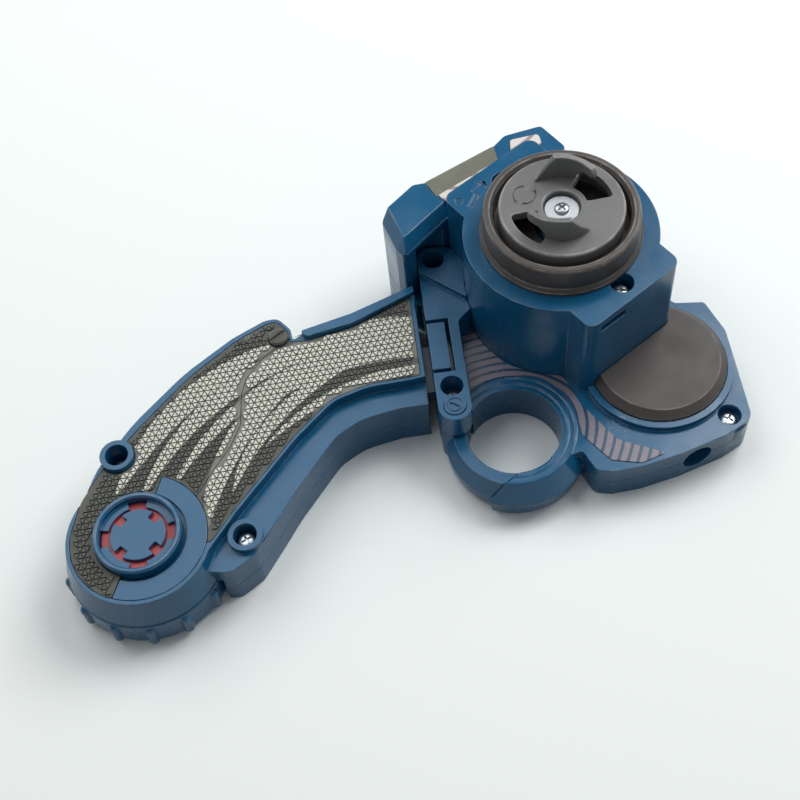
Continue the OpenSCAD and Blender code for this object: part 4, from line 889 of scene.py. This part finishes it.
@dataclass
class Pads(SubAssembly):
    """The grip's two textured pads with their field of small raised triangles.

    Attributes:
        pitch: Distance between two triangles that point the same way, in millimetres.
        reach, crown: Distance from a triangle's middle to its corners at its foot and at its top.
        margin: Share by which a triangle is enlarged to test that it stands whole on the pad.
        flattest: Least upward part of the normal where it may stand.
        drop: Height above the pad from which each corner is dropped onto it.
    """

    pitch: float = 1.9
    reach: float = 0.95
    crown: float = 0.74
    rise: float = 0.45
    sink: float = 0.1
    turn: float = 3.0
    columns: int = 60
    rows: int = 49
    corner: Pair = (-150.0, -84.0)
    margin: float = 0.1
    flattest: float = 0.9
    drop: float = 5.0

    def build(self) -> None:
        """Builds the rounded pads and the triangles that stand on each."""
        super().build()
        for node in ("palm_pad", "thumb_pad"):
            self.field_of_triangles(node)

    def field_of_triangles(self, node: str) -> None:
        """Repeats a pair of small pyramids over a pad and keeps those that stand whole on it.

        Args:
            node: CAD node of the pad.
        """
        piece, corners = self.one_pair(node)
        turn = Matrix.Rotation(math.radians(self.turn), 3, "Z")
        for count, step in ((self.columns, (1.0, 0.0, 0.0)), (self.rows, (0.5, math.sqrt(0.75), 0.0))):
            array = piece.modifiers.new("row", "ARRAY")
            array.count = count
            array.use_relative_offset = False
            array.use_constant_offset = True
            array.constant_offset_displace = turn @ Vector(step) * self.pitch * MM
            pick(piece)
            bpy.ops.object.modifier_apply(modifier=array.name)
        bpy.context.view_layer.update()
        stray = self.strays(piece.data, corners, bpy.data.objects[node + "_moulded"])
        edit(piece, "VERT")
        close()
        for vertex in piece.data.vertices:
            vertex.select = vertex.index // corners in stray
        bpy.ops.object.mode_set(mode="EDIT")
        bpy.ops.mesh.delete(type="VERT")
        close()
        dress(piece, PRINTED_PAD, self.body)

    def one_pair(self, node: str) -> tuple[Piece, int]:
        """Makes the first pyramid and the one that points the other way beside it.

        Args:
            node: CAD node of the pad.

        Returns:
            The piece with both, and the number of vertices of one.
        """
        height = self.rise + self.sink
        start = Vector((*self.corner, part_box(node)[1].z / MM - self.sink + height / 2))
        turn = Matrix.Rotation(math.radians(self.turn), 3, "Z")
        beside = start + turn @ Vector((0.5, math.sqrt(1 / 12), 0)) * self.pitch
        bpy.ops.object.select_all(action="DESELECT")
        bpy.ops.mesh.primitive_cone_add(vertices=3, radius1=self.reach * MM, radius2=self.crown * MM,
                                        depth=height * MM, location=start * MM,
                                        rotation=(0, 0, math.radians(self.turn)))
        piece = bpy.context.active_object
        piece.name = node + "_triangles"
        corners = len(piece.data.vertices)
        bpy.ops.object.mode_set(mode="EDIT")
        bpy.ops.mesh.primitive_cone_add(vertices=3, radius1=self.reach * MM, radius2=self.crown * MM,
                                        depth=height * MM, location=beside * MM,
                                        rotation=(0, 0, math.radians(self.turn + 180)))
        close()
        bpy.ops.object.transform_apply(location=True, rotation=True, scale=True)
        return piece, corners

    def strays(self, mesh: bpy.types.Mesh, corners: int, pad: Piece) -> set[int]:
        """Finds the pyramids that don't stand whole on the flat top of a pad.

        Args:
            mesh: Mesh of all pyramids.
            corners: Number of vertices of one.
            pad: Pad that they stand on.

        Returns:
            Numbers of those that stray.
        """
        found = set()
        start_z = mesh.vertices[0].co.z + (self.sink + self.drop) * MM
        for number in range(len(mesh.vertices) // corners):
            spots = [mesh.vertices[number * corners + i].co for i in range(corners)]
            middle = sum(spots, Vector()) / corners
            for spot in spots:
                out = middle + (spot - middle) * (1 + self.margin)
                hit, _, normal, _ = pad.ray_cast(Vector((*out.xy, start_z)), Vector((0, 0, -1)))
                if not hit or normal.z < self.flattest:
                    found.add(number)
        return found


@dataclass
class Claw(SubAssembly):
    """The turning disc with its two windows, two hooked prongs and its turn mark.

    Sizes are in millimetres and angles in degrees about the claw's axis. Along a prong, shares run
    from 0 at its nose to 1 at its tail.

    Attributes:
        window, prong: Inner and outer radius.
        nose_drop, nose_share: How much lower the nose is, and the share over which the top drops.
        overhang, arch_share: Where the nose's arch over the window ends, and over what share.
        hook_gap: Height of the arch above the disc.
        ramp: Share at which the tail's ramp starts.
        tail_h, tail_in: Height left at the tail's end, and the share of its width that it loses.
        draft: Share of its width that a prong loses towards its top.
        blunt_share: Share over which the nose is blunt.
        blunt_drop, blunt_rise, blunt_in: How far the nose drops, rises underneath and narrows.
        mark_arcs: Where the turn mark's two arcs start from its own angle.
        overrun: How far cutters reach beyond what they cut.
    """

    top: float = 54.4
    rim_r: float = 16.8
    rim_round: float = 0.7
    skirt: float = 6.5
    skirt_wall: float = 1.35
    plate: float = 2.6
    well_r: float = 5.0
    well_floor: float = 52.0
    well_round: float = 0.5
    hub_r: float = 6.4
    hub_foot: float = 50.2
    bore_r: float = 1.35
    window: Pair = (6.7, 13.8)
    window_start: float = 4.0
    window_sweep: float = 54.0
    window_corner: float = 1.5
    window_round: float = 0.22
    prong: Pair = (9.7, 11.8)
    nose: float = 25.0
    tail: float = 122.0
    prong_h: float = 7.4
    prong_foot: float = 0.2
    prong_round: float = 0.4
    nose_drop: float = 1.3
    nose_share: float = 0.6
    overhang: float = 0.36
    arch_share: float = 0.12
    hook_gap: float = 3.4
    ramp: float = 0.70
    tail_h: float = 0.25
    tail_in: float = 0.9
    draft: float = 0.22
    blunt_share: float = 0.10
    blunt_drop: float = 1.5
    blunt_rise: float = 0.6
    blunt_in: float = 0.65
    mark_reach: float = 10.5
    mark_at: float = 151.0
    mark_r: float = 3.0
    mark_line: float = 0.42
    mark_depth: float = 0.3
    mark_arcs: Pair = (105.0, -65.0)
    mark_sweep: float = 130.0
    overrun: float = 1.0

    def build(self) -> None:
        """Builds the disc and its prongs, and dresses the pieces under it."""
        super().build()
        self.disc()
        first = self.one_prong()
        second = copied(first, "claw_prong_2", 180)
        for prong in (first, second):
            smooth(prong, 50)
            dress(prong, DISC_ACETAL, self.body)

    def disc(self) -> None:
        """Turns the disc, cuts its windows and its mark, and rounds its edges."""
        top, under, inside = self.top, self.top - self.plate, self.rim_r - self.skirt_wall
        piece = turned("claw_plate", [
            (self.bore_r, self.well_floor), (self.well_r, self.well_floor), (self.well_r, top),
            (self.rim_r, top), (self.rim_r, top - self.skirt), (inside, top - self.skirt),
            (inside, under), (self.hub_r, under), (self.hub_r, self.hub_foot),
            (self.bore_r, self.hub_foot)], steps=96)
        low, high = under - self.overrun, top + self.overrun
        inner, outer = self.window
        for turn in (0, 180):
            window = turned("window", [(inner, low), (outer, low), (outer, high), (inner, high)],
                            start=self.window_start + turn, sweep=self.window_sweep, steps=16)
            self.round_corners(window)
            cut(piece, window)
        ahead = math.radians(self.mark_at)
        place = (self.mark_reach * math.cos(ahead), self.mark_reach * math.sin(ahead))
        thin, wide = self.mark_r - self.mark_line / 2, self.mark_r + self.mark_line / 2
        bed = top - self.mark_depth
        for arc in self.mark_arcs:
            cut(piece, turned("groove", [(thin, bed), (wide, bed), (wide, high), (thin, high)],
                              centre=place, start=self.mark_at + arc, sweep=self.mark_sweep, steps=20))
        settle(piece)
        split_thin(piece, 1.0)
        near = 0.1
        soften(piece, self.rim_round, 60, 4, lambda co: self.on_top(co) and co.xy.length > self.rim_r - near)
        soften(piece, self.well_round, 60, 3,
               lambda co: self.on_top(co) and co.xy.length < self.well_r + near)
        soften(piece, self.window_round, 60, 2,
               lambda co: self.on_top(co) and inner - near < co.xy.length < outer + near
               and (co.xy - Vector(place)).length > self.mark_r + self.mark_line)
        smooth(piece)
        dress(piece, DISC_ACETAL, self.body, ["claw_disc"])

    def on_top(self, co: Vector) -> bool:
        """Says whether a point in millimetres is on the disc's top."""
        return abs(co.z - self.top) < 0.01

    def round_corners(self, window: Piece) -> None:
        """Rounds the four upright corners of a window's cutter, where its ends begin."""
        edit(window)
        close()
        mesh = window.data
        # An end faces along the arc, so its normal lies square to the way from the axis
        ends = [face for face in mesh.polygons if abs(face.normal.z) < 0.1
                and abs(face.center.xy.normalized().dot(face.normal.xy)) < 0.3]
        for line in mesh.edges:
            a, b = (mesh.vertices[v].co for v in line.vertices)
            line.select = ((a - b).xy.length < 0.0001 * MM
                           and any(set(line.vertices) <= set(face.vertices) for face in ends))
        bpy.ops.object.mode_set(mode="EDIT")
        bpy.ops.mesh.bevel(offset=self.window_corner * MM, segments=4, affect="EDGES", clamp_overlap=False)
        close()

    def one_prong(self, columns: int = 5, steps: int = 60) -> Piece:
        """Turns one prong as a low wall and moves each vertex to its place.

        Args:
            columns: Vertices across the prong.
            steps: Sections along it.

        Returns:
            The prong.
        """
        inner, outer = self.prong
        low, high = 1.0, 2.0
        above = [(inner + (outer - inner) * i / (columns - 1), high) for i in range(columns)]
        under = [(reach, low) for reach, _ in reversed(above)]
        piece = turned("claw_prong_1", above + under, start=self.nose, sweep=self.tail - self.nose,
                       steps=steps)
        for vertex in piece.data.vertices:
            place = vertex.co / MM
            vertex.co = self.shaped(place, place.z > (low + high) / 2) * MM
        settle(piece)
        soften(piece, self.prong_round, 50, 3, lambda co: co.z > self.top + 0.9)
        return piece

    def shaped(self, place: Vector, above: bool) -> Vector:
        """Works out where a point of the low wall belongs on the hooked prong.

        Args:
            place: Point on the low wall in millimetres.
            above: Whether it is on the wall's top.

        Returns:
            The point on the prong.
        """
        middle = sum(self.prong) / 2
        angle = math.atan2(place.y, place.x)
        share = (math.degrees(angle) - self.nose) / (self.tail - self.nose)
        ramp = max(0.0, (share - self.ramp) / (1 - self.ramp))
        blunt = max(0.0, 1 - share / self.blunt_share) ** 2
        reach = place.xy.length
        reach += (middle - reach) * self.tail_in * ramp ** 1.2
        reach += (middle - reach) * max(self.blunt_in * blunt, self.draft if above else 0.0)
        if above:
            crown = self.prong_h - self.nose_drop * max(0.0, 1 - share / self.nose_share)
            height = crown * (1 - ramp ** 0.9) + self.tail_h * ramp - self.blunt_drop * blunt
        else:
            arch = max(0.0, min(1.0, (self.overhang - share) / self.arch_share)) ** 0.6
            height = (self.hook_gap + self.prong_foot) * arch - self.prong_foot + self.blunt_rise * blunt
        return Vector((reach * math.cos(angle), reach * math.sin(angle), self.top + height))


@dataclass
class Screws(SubAssembly):
    """Pan-headed screws with a cross recess, one for each screw of the construction.

    Attributes:
        dome_share: Outline of the head, as shares of its radius and of its height from the top.
        recess_share, recess_over: Shares of its reach and width at its foot and above the head.
        turn: Step in degrees by which the screws are turned differently.
        lift: How much higher than in the construction the heads are.
    """

    nodes: tuple[str, ...] = ()
    head_r: float = 2.4
    head_h: float = 1.5
    dome_share: tuple[Pair, ...] = (
        (0.0, 0.0), (0.5, 0.0), (0.82, 0.12), (0.96, 0.38), (1.0, 0.62), (1.0, 1.0))
    shank_r: float = 1.2
    point: float = 1.0
    recess_r: float = 1.45
    recess_w: float = 0.62
    recess_depth: float = 1.0
    recess_share: Pair = (0.45, 0.6)
    recess_over: Pair = (1.12, 1.1)
    recess_above: float = 0.15
    turn: float = 20.0
    lift: float = 0.0

    def build(self) -> None:
        """Makes one screw for each node's places and lengths."""
        super().build()
        for node in self.nodes:
            for number, (middle, low, high) in enumerate(self.places(node), 1):
                piece = self.one_screw(high + self.lift - low)
                screw = copied(piece, f"{node}_turned_{number}", self.turn * (3 * number + len(node)),
                               (middle.x, middle.y, high + self.lift))
                bpy.data.objects.remove(piece)
                smooth(screw, 40)
                dress(screw, ZINC, self.body, [node])

    def places(self, node: str) -> list[tuple[Vector, float, float]]:
        """Finds the screws of a node.

        Args:
            node: CAD node that holds one or more screws.

        Returns:
            Middle in the plan, foot and top of each screw in millimetres.
        """
        groups: list[list[Vector]] = []
        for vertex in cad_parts[node].data.vertices:
            spot = vertex.co / MM
            near = [g for g in groups if (g[0] - spot).xy.length < 3 * self.head_r]
            if near:
                near[0].append(spot)
            else:
                groups.append([spot])
        found = []
        for group in groups:
            xs, ys, zs = ([spot[i] for spot in group] for i in range(3))
            found.append((Vector(((min(xs) + max(xs)) / 2, (min(ys) + max(ys)) / 2)), min(zs), max(zs)))
        return found

    def one_screw(self, length: float) -> Piece:
        """Turns one screw with its head's top at the origin and cuts its recess.

        Args:
            length: Length over all in millimetres.

        Returns:
            The screw.
        """
        head = [(reach * self.head_r, -drop * self.head_h) for reach, drop in self.dome_share]
        piece = turned("screw", [*head, (self.shank_r, -self.head_h), (self.shank_r, self.point - length),
                                 (0, -length)], steps=32, ring=False)
        for angle in (45, 135):
            bpy.ops.object.select_all(action="DESELECT")
            bpy.ops.mesh.primitive_cube_add(size=2 * MM, location=(0, 0, 0),
                                            rotation=(0, 0, math.radians(angle)))
            arm = bpy.context.active_object
            for vertex in arm.data.vertices:
                foot = vertex.co.z < 0
                long, wide = self.recess_share if foot else self.recess_over
                vertex.co.x *= self.recess_r * long
                vertex.co.y *= self.recess_w / 2 * wide
                vertex.co.z = MM * (-self.recess_depth if foot else self.recess_above)
            bpy.ops.object.transform_apply(location=True, rotation=True, scale=True)
            cut(piece, arm)
        settle(piece)
        return piece


def assemblies() -> list[SubAssembly]:
    """Lists the launcher's sub-assemblies in building order."""
    blue = (BLUE_ABS, Slot.BLUE)
    return [
        SubAssembly(rounded={"head_lower_shell": (*blue, 0.16), "head_upper_shell": (*blue, 0.16),
                             "tower_housing": (*blue, 0.18), "launch_collar": (COLLAR_ABS, Slot.GREY, 0.25),
                             "round_cover": (COVER_ABS, Slot.GREY, 0.25), "grip_upper_shell": (*blue, 0.15),
                             "grip_lower_shell": (*blue, 0.2), "arc_plate": (*blue, 0.25),
                             "dial_bezel": (*blue, 0.2), "gate_pivot_pin": (*blue, 0.15)},
                    kept={"deck_foil": FOIL_FILM, "latch_spring": ZINC, "gate_spring": ZINC,
                          "upper_bush": WHITE_ACETAL, "lower_bush": WHITE_ACETAL,
                          "click_ball": ZINC, "click_spring": ZINC},
                    split={"grip_upper_shell": EVERY, "head_lower_shell": 2.5, "head_upper_shell": 2.5}),
        Bracket(rounded={"bracket": (*blue, 0.15)}, split={"bracket": EVERY}),
        Pod(rounded={"pod_housing": (*blue, 0.25), "pod_window": (WINDOW_GREY, Slot.WINDOW, 0.08),
                     "pod_label": (LABEL_FILM, Slot.LABEL, 0.05)}),
        Screws(nodes=("tower_screws",), lift=4.2),
        Screws(nodes=("head_screws", "bracket_screws")),
        Screws(nodes=("grip_screws",), lift=2.5),
        Screws(Body.CLAW, nodes=("claw_screw",), head_r=2.1, lift=-0.6),
        Pads(rounded={"palm_pad": (PRINTED_PAD, Slot.PAD, 0.25), "thumb_pad": (PRINTED_PAD, Slot.PAD, 0.25),
                      "pad_stud": (PAD_RUBBER, Slot.PAD, 0.25)},
             split={"palm_pad": EVERY, "thumb_pad": EVERY, "pad_stud": EVERY}),
        Claw(Body.CLAW, kept={"claw_washer": ZINC, "claw_spindle": WHITE_ACETAL,
                              "ratchet_cup": WHITE_ACETAL}),
        SubAssembly(Body.PINION, kept={"drive_pinion": WHITE_ACETAL, "clutch_pawls": WHITE_ACETAL}),
        SubAssembly(Body.GATE, {"gate_upper": (*blue, 0.2), "gate_lower": (*blue, 0.2)}),
        SubAssembly(Body.LATCH, {"latch_button": (*blue, 0.2)}),
        SubAssembly(Body.DIAL, {"dial_wheel": (*blue, 0.15), "dial_hub": (*blue, 0.2)},
                    {"indicator_ring": RED_ABS, "dial_screw": ZINC}, {"dial_wheel": 2.5}),
    ]


# Room
@dataclass(frozen=True)
class Room:
    """Pale floor, soft light and the camera, in millimetres and degrees.

    Attributes:
        air, ceiling: Colour of the world and its strength overhead; at the horizon it is 1.
        rise: Heights of the view direction between which the world fades to the ceiling.
        card, bounce: Colour of the floor as it is seen and as it lights the launcher.
    """

    camera: Point = (-48.74, -227.79, 336.85)
    elevation: float = 58.268
    roll: float = -7.394
    lens: float = 61.747
    sensor: float = 36.0
    clip: float = 10.0
    aim: Point = (-40, -30, 15)
    lamps: tuple[tuple[str, Point, float, float], ...] = (
        ("key", (480, 330, 700), 560, 5.8), ("fill", (-360, 330, 700), 700, 3.0))
    air: Colour = (0.97, 0.99, 1.0, 1.0)
    ceiling: float = 0.25
    rise: Pair = (0.05, 0.35)
    card: Colour = (0.93, 0.975, 0.96, 1.0)
    bounce: Colour = (0.27, 0.28, 0.29, 1.0)
    floor: float = 6000.0

    def set_camera(self) -> None:
        """Puts the camera at the photograph's place and angle."""
        tilt, roll = math.radians(self.elevation), math.radians(self.roll)
        ahead = Vector((0, math.cos(tilt), -math.sin(tilt)))
        right = Vector((1, 0, 0))
        above = right.cross(ahead)
        across = math.cos(roll) * right + math.sin(roll) * above
        up = -math.sin(roll) * right + math.cos(roll) * above
        turn = Matrix((across, up, -ahead)).transposed().to_4x4()
        data = bpy.data.cameras.new("camera")
        data.lens = self.lens
        data.sensor_width = self.sensor
        data.clip_start = self.clip * MM
        view = bpy.data.objects.new("camera", data)
        view.matrix_world = Matrix.Translation(Vector(self.camera) * MM) @ turn
        bpy.context.scene.collection.objects.link(view)
        bpy.context.scene.camera = view

    def set_light(self) -> None:
        """Adds the soft lamps and the pale world."""
        scene = bpy.context.scene
        scene.view_settings.view_transform = "Standard"
        world = bpy.data.worlds.new("room")
        world.use_nodes = True
        tree = world.node_tree
        tree.nodes.clear()
        place = add(tree, "SeparateXYZ", {0: add(tree, "TexCoord").outputs["Generated"]})
        low, high = self.rise
        sweep = add(tree, "MapRange", {"Value": place.outputs[2], "From Min": low, "From Max": high,
                                       "To Min": 1.0, "To Max": self.ceiling})
        level = add(tree, "Mix", {0: self.seen(tree), 2: self.ceiling, 3: sweep})
        light = add(tree, "Background", {"Color": self.air, "Strength": level})
        add(tree, "OutputWorld", {"Surface": light})
        scene.world = world
        for name, place, size, power in self.lamps:
            data = bpy.data.lights.new(name, "AREA")
            data.size = size * MM
            data.energy = power
            lamp = bpy.data.objects.new(name, data)
            turn = (Vector(self.aim) - Vector(place)).to_track_quat("-Z", "Y")
            lamp.matrix_world = Matrix.Translation(Vector(place) * MM) @ turn.to_matrix().to_4x4()
            scene.collection.objects.link(lamp)

    def seen(self, tree: Tree) -> bpy.types.Node:
        """Returns a node that gives 1 for the rays that show the pale sweep and 0 for the rest."""
        path = add(tree, "LightPath").outputs
        gloss = add(tree, "Math", {0: path["Is Glossy Ray"], 1: path["Is Transmission Ray"]},
                    operation="MAXIMUM")
        return add(tree, "Math", {0: path["Is Camera Ray"], 1: gloss}, operation="MAXIMUM")

    def set_floor(self) -> None:
        """Lays the pale floor under the launcher."""
        bpy.ops.object.select_all(action="DESELECT")
        bpy.ops.mesh.primitive_plane_add(size=self.floor * MM, location=(0, 0, 0))
        floor = bpy.context.active_object
        floor.name = "floor"
        made = blank("matt white card")
        tree = made.node_tree
        white = add(tree, "Mix", {0: self.seen(tree), 6: self.bounce, 7: self.card}, data_type="RGBA")
        shader = add(tree, "BsdfPrincipled", {"Base Color": white.outputs[2], "Roughness": 0.9})
        add(tree, "OutputMaterial", {"Surface": shader})
        floor.data.materials.append(made)


def main() -> None:
    """Builds the launcher and its room."""
    logging.basicConfig(level=logging.INFO, format="%(message)s")
    room = Room()
    room.set_camera()
    for assembly in assemblies():
        assembly.build()
    room.set_light()
    room.set_floor()


if __name__ == "__main__":
    main()
